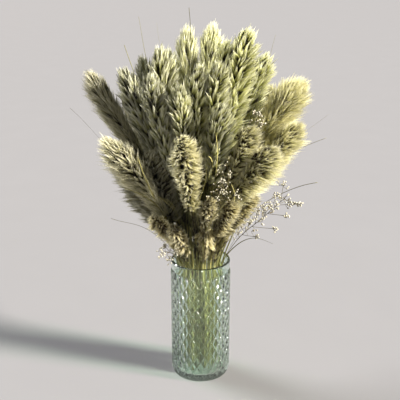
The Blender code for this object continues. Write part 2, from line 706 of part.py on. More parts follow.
def build_spray(name, track, top_length, top_radius, branches, index, crowd, rng):
    """A wiry stem with twigs round the end of it, each with three buds."""
    neck = track.length - top_length
    places = stem_places(track, neck)[:-1]
    steps = len(places)
    for n in range(branches):
        place = neck + (top_length - BUD_LENGTH) * n / branches
        places += [place, place + TWIG_FOOT]
    places.append(track.length - BUD_LENGTH)
    centres = track.at(np.array(places))
    ways, sides, seconds = frames(centres)
    verts, faces = [], [(2, 1, 0)]
    for n, centre in enumerate(centres):
        radius = SPRAY_STEM_RADIUS + (TWIG_RADIUS - SPRAY_STEM_RADIUS) * n / (len(centres) - 1)
        verts += ring_at(centre, sides[n], seconds[n], radius, 3, 0.0)
        if n:
            faces += bridge(3 * (n - 1), 3, 3 * n, 3)
    last = 3 * (len(centres) - 1)
    put_bud(verts, faces, (last, last + 1, last + 2), ways[-1])
    for n in range(branches):
        level = steps + 2 * n
        way = ways[level]
        angle = GOLDEN_ANGLE * n + TWIG_TURN * rng.random()
        outward = math.cos(angle) * sides[level] + math.sin(angle) * seconds[level]
        choices = bridge(3 * level, 3, 3 * (level + 1), 3)
        face = max(choices, key=lambda f: normal_of(verts, f).dot(outward))
        outward = unit(outward + TWIG_SPLAY * normal_of(verts, face))
        reach = top_radius * rng.uniform(*TWIG_REACH) * (1.0 - TWIG_SHRINK * n / branches)
        rise = min(TWIG_RISE * reach, track.length - places[level])
        start = centres[level]
        room = crowd.reach(index, start, start + outward * reach + way * rise, BUD_LENGTH)
        if room * reach > SHORTEST_TWIG:
            put_twig(verts, faces, face, outward, way, room * reach, room * rise)
    return add_object(name, verts, faces, "spray")


# The whole bunch


def even_room(_, radius):
    return radius


def spray_room(share, radius):
    """Room that a spray keeps round its top: widest in the middle."""
    span = 1.0 - 2.0 * SPRAY_ROOM_ENDS
    return radius * math.sin(math.pi * (SPRAY_ROOM_ENDS + span * min(max(share, 0.0), 1.0)))


def build_bunch():
    tips, arches, rooms = [], [], []
    for _, x, y, z, length, radius, arch in HEADS.values():
        tips.append((x, y, z))
        arches.append(arch)
        rooms.append((length, ROOM_SHARE * radius, STEM_RADIUS_FOOT, head_radius_at))
    for x, y, z, arch, width in BLADES.values():
        tips.append((x, y, z))
        arches.append(arch)
        rooms.append((LONGEST_STEP, 0.5 * width, 0.5 * width, even_room))
    for x, y, z, length, radius, arch, _ in SPRAYS.values():
        tips.append((x, y, z))
        arches.append(arch)
        rooms.append((length, SPRAY_ROOM_SHARE * radius, SPRAY_STEM_RADIUS, spray_room))
    mouths = mouth_points(tips)
    courses = [course(np.array(t, float), arch, m) for t, arch, m in zip(tips, arches, mouths)]
    radii = [radii_along(points, *room) for points, room in zip(courses, rooms)]
    courses = Bunch(courses, radii).settle()
    crowd = Crowd(courses, radii)
    for index, name in enumerate([*HEADS, *BLADES, *SPRAYS]):
        track = Track(courses[index])
        rng = random.Random(f"{name}{SPRAY_SEED if name in SPRAYS else TUFT_SEED}")
        if name in HEADS:
            kind, _, _, _, length, radius, _ = HEADS[name]
            build_plume(name, kind, track, length, radius, index, crowd, rng)
        elif name in BLADES:
            build_blade(name, track, BLADES[name][4])
        else:
            _, _, _, length, radius, _, branches = SPRAYS[name]
            build_spray(name, track, length, radius, branches, index, crowd, rng)


def main():
    clear_scene()
    build_vase()
    build_bunch()


if __name__ == "__main__":
    main()
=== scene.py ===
"""Dried grasses in a pressed-glass vase: fine hair, lances, buds and glass in place of the faceted solids.

Each head is grown again round the course of its own solid: the rings up its stem give the line, and the
peaks of its tufts give how far the hair reaches on each side. Lengths are metres, as in the frame.
"""

import math
import zlib

import bpy
import mathutils
import numpy as np
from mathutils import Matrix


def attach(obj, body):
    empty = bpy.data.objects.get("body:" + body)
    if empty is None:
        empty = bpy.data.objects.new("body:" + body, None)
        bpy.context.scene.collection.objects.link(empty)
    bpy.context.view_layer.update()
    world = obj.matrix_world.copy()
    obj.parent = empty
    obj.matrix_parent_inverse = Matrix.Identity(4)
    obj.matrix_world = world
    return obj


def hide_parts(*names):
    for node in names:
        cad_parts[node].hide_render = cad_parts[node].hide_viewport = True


bl_info = {
    "name": "Dried grasses in a pressed-glass vase",
    "version": (1, 0, 0),
    "blender": (4, 5, 0),
    "location": "3D View > Sidebar > Dried grasses",
    "description": "Builds the vase, plumes, reeds, tails, sprays and blades of a dried arrangement",
    "category": "Add Mesh",
}

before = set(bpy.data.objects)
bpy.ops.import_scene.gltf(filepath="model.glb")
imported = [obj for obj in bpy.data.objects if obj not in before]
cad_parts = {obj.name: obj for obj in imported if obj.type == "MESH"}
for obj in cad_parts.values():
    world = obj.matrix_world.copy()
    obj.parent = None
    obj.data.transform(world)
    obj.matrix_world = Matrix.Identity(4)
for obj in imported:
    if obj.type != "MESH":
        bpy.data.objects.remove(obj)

MM = 0.001
GOLDEN_ANGLE = math.pi * (3.0 - math.sqrt(5.0))
WELD = 1e-6  # corners closer than this are one
RING_GAP = 30.0 * MM  # corners further apart than this are of different rings
RIM = 249.0 * MM  # height of the vase
STALK, HAIR = 0, 1  # material slots of a head
STALK_SIDES = 8
FIRST_JOINT = (60, 110)  # mm from the foot of a stalk
JOINT_GAPS = (105, 140)  # mm between its joints
JOINT_RINGS = (-2.2, -0.9, 0.0, 0.9, 2.2)  # mm along a joint
JOINT_SWELL = 0.28
HEART_SIDES = 9
TUFT_STEPS = 3
DOWN_LENGTH = 120.0 * MM  # of stalk below a head
DOWN_GAP = 0.95 * MM  # of stalk for each tuft of down
LEAF_STEPS = 9
LEAF_PROFILE = (0.7, 0.95, 1.0, 0.95, 0.85, 0.7, 0.5, 0.3)
SHEATH_PROFILE = (0.5, 0.8, 0.95, 1.0, 0.95, 0.85, 0.7, 0.45)

# What can set a single head apart, with the usual value of each.
USUAL = {
    "full": 1.1,  # how far the fine ends of the hair reach, against the tufts of the solid
    "sleek": 0.9,  # how closely the tufts lie along the head: most in the silky outer heads
    "wisps": 0,  # thin curled leaves from the stalk below the head
    "pointed": 1.0,  # height of the round top, against the usual for its kind
    "skirt": 5.0,  # mm that the tufts stand out at the lower end of the head
    "droop": 0.0,  # mm that the ends of the tufts hang down
    "shorter": 0.0,  # mm that the hair stops short of the solid's last tuft
    "coarse": 1.0,  # width of a reed's lances, against the usual
    "painted_light": None,  # painted light over 0, as paler tones, and painted shade under 0, as darker ones; None leaves it to the side of the vase
}
# The entries here that lighten or darken a head's tones are painted light and painted shade.
OWN = {
    "plume_front": {"sleek": 0.8, "wisps": 2, "painted_light": 0.6},
    "plume_right_front": {"sleek": 0.85, "wisps": 2, "painted_light": 0.4},
    "plume_right_high": {"full": 1.3, "sleek": 1.65, "painted_light": 0.6},
    "plume_right_mid": {"full": 1.2, "sleek": 1.35, "painted_light": 0.6},
    "plume_right_inner": {"painted_light": 0.35},
    "plume_inner_right": {"sleek": 0.8, "wisps": 1, "painted_light": 0.6},
    "plume_inner_left": {"full": 1.3, "sleek": 0.85, "wisps": 2, "painted_light": -0.5},
    "plume_left_high": {"full": 1.05, "sleek": 1.55, "pointed": 1.5, "painted_light": 0.2},
    "plume_left_mid": {"full": 1.2, "sleek": 1.5, "pointed": 2.3, "wisps": 2, "painted_light": 0.45},
    "plume_left_mid_back": {"painted_light": -0.4},
    "plume_left_low": {"full": 0.95, "wisps": 1, "painted_light": -0.3},
    "plume_back": {"sleek": 0.75},
    "plume_back_left_high": {"sleek": 1.25},
    "plume_back_right_high": {"full": 0.85, "shorter": 24.0},
    "reed_top_left": {"sleek": 1.25, "painted_light": 0.35},
    "reed_top_middle": {"sleek": 1.1, "painted_light": 0.35},
    "reed_top_right": {"sleek": 0.72, "painted_light": 0.5},
    "reed_crown_left": {"sleek": 0.8, "coarse": 1.6},
    "reed_crown_middle": {"painted_light": 0.85},
    "reed_shoulder_left": {"painted_light": -0.3},
    "reed_shoulder_right": {"sleek": 0.65, "painted_light": 0.35},
    "reed_front_left": {"sleek": 0.7, "coarse": 1.9, "painted_light": -0.2},
    "reed_front_middle": {"sleek": 0.7, "coarse": 1.3},
    "reed_front_right": {"sleek": 0.65},
    "reed_inner_left": {"sleek": 0.75, "coarse": 1.6, "wisps": 1},
    "reed_middle": {"sleek": 0.8, "wisps": 2, "painted_light": -0.4},
    "reed_outer_left": {"coarse": 1.7, "wisps": 1, "painted_light": -0.3},
    "reed_back_left": {"sleek": 1.1},
    "reed_back_right": {"painted_light": 0.45},
    "tail_rim_front": {"full": 1.5, "skirt": 15.0, "droop": 13.0, "painted_light": 1.0},
    "tail_rim_left": {"painted_light": 0.8},
    "tail_rim_left_front": {"skirt": 8.0, "wisps": 2, "painted_light": 0.45},
    "tail_front_low": {"full": 0.95, "wisps": 2},
    "tail_front_low_right": {"painted_light": 0.2},
    "tail_right_low": {"full": 1.2, "wisps": 1, "painted_light": 0.3},
}


def nodes_named(prefix):
    return sorted(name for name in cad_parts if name.startswith(prefix))


def seeded(name):
    """Random numbers that are the same in each run for the piece of this name."""
    return np.random.default_rng(zlib.crc32(name.encode()))


# Colours and materials


def hex_colour(text):
    """Linear RGBA from an sRGB hex value."""
    shares = [int(text[i : i + 2], 16) / 255.0 for i in (1, 3, 5)]
    linear = [s / 12.92 if s <= 0.04045 else ((s + 0.055) / 1.055) ** 2.4 for s in shares]
    return (*linear, 1.0)


def add_node(tree, kind, sockets=None, settings=None, stops=()):
    """Adds a node with its settings, the values or sources of its sockets, and a ramp's stops. Gives back its
    outputs."""
    node = tree.nodes.new("ShaderNode" + kind)
    for name, value in (settings or {}).items():
        setattr(node, name, value)
    for name, value in (sockets or {}).items():
        if isinstance(value, bpy.types.NodeSocket):
            tree.links.new(value, node.inputs[name])
        else:
            node.inputs[name].default_value = value
    for n, (place, colour) in enumerate(stops):
        elements = node.color_ramp.elements
        element = elements[n] if n < 2 else elements.new(place)
        element.position = place
        element.color = colour
    return node.outputs


def new_material(name, *labels):
    """An empty material, its node tree, and the named values that each point of the mesh carries."""
    material = bpy.data.materials.new(name)
    material.use_nodes = True
    tree = material.node_tree
    tree.nodes.clear()
    read = [add_node(tree, "Attribute", settings={"attribute_name": label})["Fac"] for label in labels]
    return material, tree, *read


def dried_hair(name, look, roughness, glow):
    """Dry grass hair: matt and faintly silky, dark at its root, where painted shade adds to its own colour
    deep in the packed head, and bleached at its end, with light showing through the thin ends. A painted
    light tint by side of the vase makes the heads on the right greener and those on the left greyer."""
    material, tree, share, tuft, green = new_material(name, "share", "tuft", "green")
    # The dark root colour is partly the hair's own and partly painted shade between the packed tufts.
    stops = [(0.37, look.root), (0.78, look.tip), (0.57, look.middle)]
    parts = {"Color": add_node(tree, "ValToRGB", {"Fac": share}, stops=stops)[0]}
    # green shifts hue and saturation as a painted light tint by side; tuft is random tone with painted light
    # and shade.
    spans = {"Value": (tuft, 0.46, 1.14), "Hue": (green, 0.497, 0.503), "Saturation": (green, 0.8, 1.03)}
    for part, (source, low, high) in spans.items():
        parts[part] = add_node(tree, "MapRange", {"Value": source, "To Min": low, "To Max": high})[0]
    colour = add_node(tree, "HueSaturation", parts)[0]
    silk = {"Roughness": roughness, "Sheen Weight": 0.25, "Sheen Roughness": 0.4}
    body = add_node(tree, "BsdfPrincipled", {"Base Color": colour, **silk})[0]
    through = add_node(tree, "BsdfTranslucent", {"Color": colour})[0]
    both = add_node(tree, "MixShader", {"Fac": glow, 1: body, 2: through})[0]
    add_node(tree, "OutputMaterial", {"Surface": both})
    return material


def dried_stalk(name, green, straw, joint, fibre):
    """A dried grass stalk: green low down and straw-coloured above, fluted along its length, with brown
    joints."""
    material, tree, share, tuft = new_material(name, "share", "tuft")
    place = add_node(tree, "TexCoord")["Object"]
    stretched = add_node(tree, "Mapping", {"Vector": place, "Scale": (1.0, 1.0, 0.04)})[0]
    fibres = add_node(tree, "TexNoise", {"Vector": stretched, "Scale": 1.0 / fibre, "Detail": 3.0})[0]
    ramp = add_node(tree, "ValToRGB", {"Fac": share}, stops=[(0.0, green), (1.0, straw)])[0]
    spans = {"From Min": 0.3, "From Max": 0.7, "To Min": 0.7, "To Max": 1.2}
    streaks = add_node(tree, "MapRange", {"Value": fibres, **spans})[0]
    toned = add_node(tree, "HueSaturation", {"Color": ramp, "Value": streaks})[0]
    jointed = add_node(tree, "Mix", {"Factor": tuft, 6: toned, 7: joint}, {"data_type": "RGBA"})[2]
    ridges = add_node(tree, "Bump", {"Height": fibres, "Strength": 0.4, "Distance": 0.2 * MM})[0]
    wax = {"Roughness": 0.5, "Coat Weight": 0.08, "Coat Roughness": 0.35}
    body = add_node(tree, "BsdfPrincipled", {"Base Color": jointed, "Normal": ridges, **wax})[0]
    add_node(tree, "OutputMaterial", {"Surface": body})
    return material


def papery_bud(name, scale, light):
    """A dried flower bud: thin papery scales, matt, pinkish where they overlap and cream at their edges, with
    creases about 0.9 mm wide."""
    material, tree, share, tuft = new_material(name, "share", "tuft")
    ramp = add_node(tree, "ValToRGB", {"Fac": share}, stops=[(0.0, scale), (0.65, light)])[0]
    tone = add_node(tree, "MapRange", {"Value": tuft, "To Min": 0.75, "To Max": 1.1})[0]
    colour = add_node(tree, "HueSaturation", {"Color": ramp, "Value": tone})[0]
    place = add_node(tree, "TexCoord")["Object"]
    creases = add_node(tree, "TexNoise", {"Vector": place, "Scale": 1.0 / (0.9 * MM), "Detail": 2.0})[0]
    folds = add_node(tree, "Bump", {"Height": creases, "Strength": 0.3, "Distance": 0.2 * MM})[0]
    paper = {"Roughness": 0.75, "Sheen Weight": 0.2}
    body = add_node(tree, "BsdfPrincipled", {"Base Color": colour, "Normal": folds, **paper})[0]
    add_node(tree, "OutputMaterial", {"Surface": body})
    return material


def pressed_glass(name, tint, ripple):
    """Soda-lime glass, pressed in a mould and fire-polished: clear, faintly green, with sharp highlights and
    a slow ripple. Light from lamps and off other things goes straight through it, tinted, so that the stalks
    inside are lit."""
    material, tree = new_material(name)
    place = add_node(tree, "TexCoord")["Object"]
    waves = add_node(tree, "TexNoise", {"Vector": place, "Scale": 1.0 / ripple, "Detail": 1.0})[0]
    relief = add_node(tree, "Bump", {"Height": waves, "Strength": 0.06, "Distance": 0.5 * MM})[0]
    spans = {"From Min": 0.35, "From Max": 0.75, "To Min": 0.015, "To Max": 0.05}
    polish = add_node(tree, "MapRange", {"Value": waves, **spans})[0]
    glass = {"Base Color": tint, "IOR": 1.52, "Transmission Weight": 1.0}
    body = add_node(tree, "BsdfPrincipled", {"Roughness": polish, "Normal": relief, **glass})[0]
    clear = add_node(tree, "BsdfTransparent", {"Color": tuple(channel**0.4 for channel in tint)})[0]
    rays = add_node(tree, "LightPath")
    kinds = {0: rays["Is Shadow Ray"], 1: rays["Is Diffuse Ray"]}
    straight = add_node(tree, "Math", kinds, {"operation": "MAXIMUM"})[0]
    both = add_node(tree, "MixShader", {"Fac": straight, 1: body, 2: clear})[0]
    add_node(tree, "OutputMaterial", {"Surface": both})
    return material


def painted_floor(name, colour):
    """A matt studio floor: plain, with the faintest mottling in patches of a hand's breadth."""
    material, tree = new_material(name)
    place = add_node(tree, "TexCoord")["Object"]
    mottle = add_node(tree, "TexNoise", {"Vector": place, "Scale": 6.0, "Detail": 2.0})[0]
    tone = add_node(tree, "MapRange", {"Value": mottle, "To Min": 0.98, "To Max": 1.02})[0]
    shade = add_node(tree, "HueSaturation", {"Color": colour, "Value": tone})[0]
    paint = {"Base Color": shade, "Roughness": 0.95, "Specular IOR Level": 0.0}
    add_node(tree, "OutputMaterial", {"Surface": add_node(tree, "BsdfPrincipled", paint)[0]})
    return material


# Meshes


class Shape:
    """Points and triangles gathered for one mesh, each point with its share along a hair and its tone."""

    def __init__(self):
        self.points, self.faces, self.shares, self.tufts, self.slots = [], [], [], [], []
        self.count = 0

    def add(self, points, faces, share, tuft, slot=0):
        self.points.append(points)
        self.faces.append(faces + self.count)
        self.shares.append(np.broadcast_to(share, len(points)))
        self.tufts.append(np.broadcast_to(tuft, len(points)))
        self.slots.append(np.full(len(faces), slot))
        self.count += len(points)

    def join(self, other, slot):
        """Take in another shape's points and triangles, with the material of this slot."""
        for points, faces, share, tuft in zip(other.points, other.faces, other.shares, other.tufts):
            self.add(points, faces - faces.min(), share, tuft, slot)

    def to_object(self, name, materials, green=0.5):
        points = np.concatenate(self.points).astype(np.float32)
        faces = np.concatenate(self.faces).astype(np.int32)
        mesh = bpy.data.meshes.new(name)
        mesh.vertices.add(len(points))
        mesh.vertices.foreach_set("co", points.ravel())
        mesh.loops.add(faces.size)
        mesh.loops.foreach_set("vertex_index", faces.ravel())
        mesh.polygons.add(len(faces))
        mesh.polygons.foreach_set("loop_start", np.arange(0, faces.size, 3, dtype=np.int32))
        mesh.polygons.foreach_set("material_index", np.concatenate(self.slots).astype(np.int32))
        # green carries the painted light tint of the piece's side of the vase.
        side_light_tints = [np.full(len(points), green)]
        for label, values in (("share", self.shares), ("tuft", self.tufts), ("green", side_light_tints)):
            layer = mesh.attributes.new(label, "FLOAT", "POINT")
            layer.data.foreach_set("value", np.concatenate(values).astype(np.float32))
        mesh.update(calc_edges=True)
        mesh.shade_smooth()
        for material in materials:
            mesh.materials.append(material)
        made = bpy.data.objects.new(name, mesh)
        bpy.context.scene.collection.objects.link(made)
        return made


def unit_rows(rows):
    return rows / np.maximum(np.linalg.norm(rows, axis=-1, keepdims=True), 1e-9)


def welded(node):
    """A solid's corners and triangles, with the corners joined that lie on the same spot."""
    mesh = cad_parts[node].data
    points = np.empty(3 * len(mesh.vertices), np.float32)
    mesh.vertices.foreach_get("co", points)
    mesh.calc_loop_triangles()
    faces = np.empty(3 * len(mesh.loop_triangles), np.int32)
    mesh.loop_triangles.foreach_get("vertices", faces)
    keys = np.round(points.reshape(-1, 3) / WELD).astype(np.int64)
    _, first, where = np.unique(keys, axis=0, return_index=True, return_inverse=True)
    return points.reshape(-1, 3)[first].astype(float), where.ravel()[faces].reshape(-1, 3)


def neighbours(points, faces):
    near = [set() for _ in points]
    for a, b, c in faces.tolist():
        near[a] |= {b, c}
        near[b] |= {a, c}
        near[c] |= {a, b}
    return near


def gathered(points, level, gap):
    """The corners of a level in groups that lie further apart than gap."""
    groups, left = [], sorted(level)
    while left:
        group = [left.pop(0)]
        for n in group:
            close = [k for k in left if np.linalg.norm(points[n] - points[k]) < gap]
            left = [k for k in left if k not in close]
            group += close
        groups.append(group)
    return groups


def rings_of(node):
    """The rings of a stem's solid from its foot up, each as its points, and the peaks of its tufts. Where a
    stem is straight its solid can lack a corner or two of a ring, and that ring is left out."""
    points, faces = welded(node)
    near = neighbours(points, faces)
    foot = set(np.argsort(points[:, 2])[:3].tolist())
    peaks = {i for i, others in enumerate(near) if len(others) == 3} - foot
    level, seen, rings = foot, set(foot), []
    while level:
        upper = set().union(*(near[i] for i in level)) - seen - peaks
        groups = gathered(points, level, RING_GAP)
        rings += [points[group] for group in groups if len(group) > 2 or not upper]
        level = upper
        seen |= upper
    return rings, points[sorted(peaks)]


class Course:
    """A smooth line through given points, by the distance along it, with a side and a second side."""

    STEP = 3.0 * MM

    def __init__(self, marks, beyond=0.0):
        marks = np.asarray(marks, float)
        if beyond:
            marks = np.vstack([marks, marks[-1] + beyond * unit_rows(marks[-1] - marks[-2])])
        spans = np.linalg.norm(np.diff(marks, axis=0), axis=1)
        slopes = np.diff(marks, axis=0) / spans[:, None]
        ways = np.vstack([slopes, slopes[-1:]])
        before, after = spans[:-1, None], spans[1:, None]
        ways[1:-1] = (slopes[:-1] * after + slopes[1:] * before) / (before + after)
        line = []
        for n, span in enumerate(spans):
            t = np.linspace(0.0, 1.0, max(2, math.ceil(span / self.STEP)), endpoint=False)[:, None]
            rise = 3 * t**2 - 2 * t**3
            bow = (t - 2 * t**2 + t**3) * span * ways[n] + (t**3 - t**2) * span * ways[n + 1]
            line.append((1 - rise) * marks[n] + rise * marks[n + 1] + bow)
        self.points = np.vstack([*line, marks[-1:]])
        steps = np.linalg.norm(np.diff(self.points, axis=0), axis=1)
        self.along = np.concatenate([[0.0], np.cumsum(steps)])
        self.length = self.along[-1]
        self.ways = unit_rows(np.gradient(self.points, axis=0))
        side = np.cross(self.ways[0], (0.3, 1.0, 0.2))
        sides = []
        for way in self.ways:
            side = side - way * side.dot(way)
            side = side / np.linalg.norm(side)
            sides.append(side)
        self.sides = np.array(sides)
        self.seconds = np.cross(self.ways, self.sides)

    def read(self, rows, place):
        return np.stack([np.interp(place, self.along, rows[:, k]) for k in range(3)], axis=-1)

    def at(self, place, angle=0.0, radius=0.0):
        """The point at this distance along the line, at this angle round it and this far out from it."""
        out = np.cos(angle)[..., None] * self.read(self.sides, place)
        out = out + np.sin(angle)[..., None] * self.read(self.seconds, place)
        ahead = np.maximum(place - self.length, 0.0)[..., None] * self.ways[-1]
        return self.read(self.points, place) + ahead + np.asarray(radius)[..., None] * out

    def nearest(self, points):
        """The distance along, the angle round and the distance out of each point."""
        n = np.linalg.norm(points[:, None] - self.points[None], axis=2).argmin(axis=1)
        off = points - self.points[n]
        along = self.along[n] + (off * self.ways[n]).sum(1)
        x = (off * self.sides[n]).sum(1)
        y = (off * self.seconds[n]).sum(1)
        return along, np.arctan2(y, x), np.hypot(x, y)


def walls(rows, around):
    """Triangles between rings of points, which go up in turn."""
    low = around * np.arange(rows - 1)[:, None] + np.arange(around)
    on = around * np.arange(rows - 1)[:, None] + (np.arange(around) + 1) % around
    pairs = (low, on, on + around), (low, on + around, low + around)
    return np.concatenate([np.stack(corners, axis=-1).reshape(-1, 3) for corners in pairs])


def closed_walls(rows, around):
    """The same with both ends closed, round a lower and an upper point that follow those of the rings."""
    here = np.arange(around)
    on = (here + 1) % around
    last, foot = around * (rows - 1), np.full(around, around * rows)
    ends = (on, here, foot), (last + here, last + on, foot + 1)
    return np.concatenate([walls(rows, around), *(np.stack(corners, axis=-1) for corners in ends)])


def level_rings(rows):
    """The points of level rings round the upright axis, from the angles, the radii and the height of each."""
    rings = []
    for turns, radii, z in rows:
        rings.append(np.stack([radii * np.cos(turns), radii * np.sin(turns), np.full(len(turns), z)], axis=1))
    return np.concatenate(rings)


def tube(course, places, radii, sides):
    """Points, triangles and the share along of a round tube with closed ends."""
    turns = np.tile(math.tau * np.arange(sides) / sides, len(places))
    rows = course.at(np.repeat(places, sides), turns, np.repeat(radii, sides))
    ends = course.at(places[[0, -1]], np.zeros(2))
    share = (places - places[0]) / (places[-1] - places[0])
    shares = np.concatenate([np.repeat(share, sides), share[[0, -1]]])
    return np.vstack([rows, ends]), closed_walls(len(places), sides), shares


def add_ribbons(shape, paths, widths, profile, facing, shares, tufts, slot):
    """Flat tapering hairs. paths is (hairs, steps, 3), with the point of each hair as its last step, and
    shares is what a hair carries at its root and at its point."""
    hairs, steps, _ = paths.shape
    way = unit_rows(paths[:, -1] - paths[:, 0])
    across = unit_rows(facing - (facing * way).sum(1, keepdims=True) * way)
    half = 0.5 * np.broadcast_to(widths, hairs)[:, None] * np.asarray(profile)
    across = across[:, None] * half[..., None]
    sides = np.stack([paths[:, :-1] - across, paths[:, :-1] + across], axis=2)
    points = np.concatenate([sides.reshape(hairs, -1, 3), paths[:, -1:]], axis=1)
    per = 2 * steps - 1
    faces = []
    for n in range(0, per - 3, 2):
        faces += [(n, n + 1, n + 3), (n, n + 3, n + 2)]
    faces.append((per - 3, per - 2, per - 1))
    every = np.array(faces)[None] + per * np.arange(hairs)[:, None, None]
    share = np.append(np.repeat(np.arange(steps - 1) / (steps - 1), 2), 1.0)
    share = shares[0] + (shares[1] - shares[0]) * np.tile(share, hairs)
    tuft = np.repeat(np.broadcast_to(tufts, hairs), per)
    shape.add(points.reshape(-1, 3), every.reshape(-1, 3), share, tuft, slot)


def any_way(count, rng):
    """Rows that point every way, for the flat sides of hairs."""
    return rng.normal(0.0, 1.0, (count, 3))


# Heads


class Head:
    """A stem and its head, as its solid gives them: the line, where the head starts, how far it reaches."""

    BELOW = 0.14  # how far below the neck the tufts start, as a share of the head's length
    ALONG = 0.09  # how far along the head the reach of a tuft counts, as a share of its length
    AROUND = 0.55  # and how far round it, in radians

    def __init__(self, node, tip_gap):
        self.node = node
        self.own = {**USUAL, **OWN.get(node, {})}
        rings, peaks = rings_of(node)
        centres = np.array([ring.mean(axis=0) for ring in rings])
        self.course = Course(centres, tip_gap)
        last = next(n for n, ring in enumerate(rings) if len(ring) != 3) - 1  # of the bare stem's rings
        self.neck = self.course.nearest(centres)[0][last]
        self.foot_radius, self.neck_radius = (
            np.linalg.norm(rings[n] - centres[n], axis=1).mean() for n in (0, last)
        )
        self.along, self.angle, self.out = self.course.nearest(peaks)
        self.tip = self.along.max() - self.own["shorter"] * MM
        self.length = self.tip - self.neck
        self.low = max(self.neck - self.BELOW * self.length, min(self.neck, RIM - 8.0 * MM))
        self.out = self.out * self.own["full"]
        self.out = self.out * seeded(node + "_reach").uniform(0.75, 1.3, len(peaks))
        self.full = np.quantile(self.out, 0.8)
        self.sleek = self.own["sleek"]

    def reach(self, place, angle):
        """How far out the hair reaches there, from the tufts of the solid that are nearest."""
        turn = np.angle(np.exp(1j * (angle[:, None] - self.angle[None])))
        step = (place[:, None] - self.along[None]) / (self.ALONG * self.length)
        weight = np.exp(-(step**2) - (turn / self.AROUND) ** 2) + 1e-9
        return (weight * self.out[None]).sum(1) / weight.sum(1)

    def side_light_tint(self):
        """The heads on the right of the vase are greener than those on its left: a painted light tint for the
        lamps on each side, which also sets the painted shade in toned.
        """
        return float(np.clip(0.5 + self.course.points[-1][0] / (400.0 * MM), 0.0, 1.0))

    def toned(self, tufts):
        """The tones of the tufts, with painted light and shade: paler in the heads on the right, where the
        warm key lamp falls, darker in those on the left, which it leaves in shade, and paler or darker where
        a head has its own painted light set.
        """
        # Painted shade darkens the heads on the left; painted light pales the others.
        side = self.side_light_tint() - 0.45
        painted_light = self.own["painted_light"]
        if painted_light is None:
            painted_light = max(0.0, 0.5 * side)
        return tufts * (1.0 + min(0.0, 1.3 * side)) * (1.0 - painted_light) + painted_light


def add_stalk(shape, head, rng):
    """The stalk from its foot into the head, with a thicker brown joint every hand's breadth."""
    end = head.tip - 0.12 * head.length
    places = np.arange(0.0, end, 9.0 * MM)
    joints = np.arange(rng.uniform(*FIRST_JOINT), 1000.0 * end, rng.uniform(*JOINT_GAPS)) * MM
    joints = joints[joints < head.neck - 15.0 * MM]
    extra = np.concatenate([joints + d * MM for d in JOINT_RINGS])
    places = np.unique(np.round(np.concatenate([places, extra, [end]]), 6))
    gap = np.abs(places[:, None] - joints[None]).min(axis=1) if len(joints) else np.ones(len(places))
    swell = np.clip(1.0 - gap / (2.0 * MM), 0.0, 1.0)
    slim = np.clip(places / head.neck, 0.0, 1.0)
    radius = head.foot_radius + (head.neck_radius - head.foot_radius) * slim
    radius = radius * (1.0 - 0.5 * np.clip((places - head.neck) / (end - head.neck), 0.0, 1.0))
    points, faces, _ = tube(head.course, places, radius * (1.0 + JOINT_SWELL * swell), STALK_SIDES)
    dry = seeded(head.node + "_dry").uniform(0.0, 0.5)
    share = np.clip(dry + (1.0 - dry) * places / head.neck, 0.0, 1.0)
    share = np.append(np.repeat(share, STALK_SIDES), [dry, 1.0])
    brown = np.append(np.repeat(np.clip(1.6 * swell, 0.0, 1.0), STALK_SIDES), [0.0, 0.0])
    shape.add(points, faces, share, brown, STALK)


def add_leaves(shape, head, rng):
    """Dry leaves that leave the stalk above the rim of the vase and curl away from it."""
    steps = np.linspace(0.0, 1.0, LEAF_STEPS)
    for _ in range(rng.integers(3, 7)):
        length = rng.uniform(50.0, 115.0) * MM
        start = rng.uniform(RIM - 60.0 * MM, max(RIM, head.neck - 30.0 * MM))
        angle = rng.uniform(0.0, math.tau) + rng.uniform(-0.9, 0.9) * steps
        place = start + length * (steps - rng.uniform(0.05, 0.35) * steps**2)
        out = 1.6 * MM + rng.uniform(5.0, 15.0) * MM * steps ** rng.uniform(1.2, 2.4)
        path = head.course.at(place, angle, out)[None]
        outward = path[:, -1] - head.course.at(place[-1:], np.zeros(1))
        facing = np.cross(path[:, -1] - path[:, 0], outward)
        add_ribbons(shape, path, rng.uniform(2.4, 5.4) * MM, LEAF_PROFILE, facing, (0.65, 1.0), 0.0, STALK)


def add_wisps(shape, head):
    """Thin curled leaves that leave the stalk below the head and arch over its front."""
    rng = seeded(head.node + "_wisps")
    t = np.linspace(0.0, 1.0, 13)
    profile = 0.55 + 0.45 * np.sin(math.pi * t[:-1])
    for _ in range(head.own["wisps"]):
        start = head.neck - rng.uniform(5.0, 45.0) * MM
        front = unit_rows(np.array([rng.normal(0.0, 0.6), -1.0, 0.0]))
        side, second = (head.course.read(rows, start) for rows in (head.course.sides, head.course.seconds))
        angle = math.atan2(front @ second, front @ side) + rng.uniform(-1.3, 1.3) * t**1.5
        place = start + rng.uniform(70.0, 150.0) * MM * (t - rng.uniform(0.05, 0.4) * t**2.5)
        out = 1.5 * MM + rng.uniform(1.05, 1.5) * head.full * t ** rng.uniform(0.6, 1.1)
        path = head.course.at(place, angle, out)[None]
        facing = any_way(1, rng)
        add_ribbons(shape, path, rng.uniform(1.7, 2.5) * MM, profile, facing, (0.75, 1.0), 0.0, STALK)


def add_dark_core(shape, head, fill, rng):
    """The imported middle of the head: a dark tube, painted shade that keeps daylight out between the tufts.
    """
    places = np.linspace(head.neck - 2.0 * MM, head.tip - 0.2 * head.length, 22)
    share = (places - head.neck) / head.length
    swell = np.sin(0.5 * np.pi * np.clip(share / 0.5, 0.02, 1.0)) * np.sqrt(np.clip(1.12 - share, 0.0, 1.0))
    radii = fill * head.full * np.maximum(swell, 0.1) * rng.uniform(0.88, 1.1, len(places))
    points, faces, along = tube(head.course, places, radii, HEART_SIDES)
    # Its root colour and low tones are painted shade.
    shape.add(points, faces, 0.06 + 0.42 * along**3, rng.uniform(0.0, 0.5), HAIR)


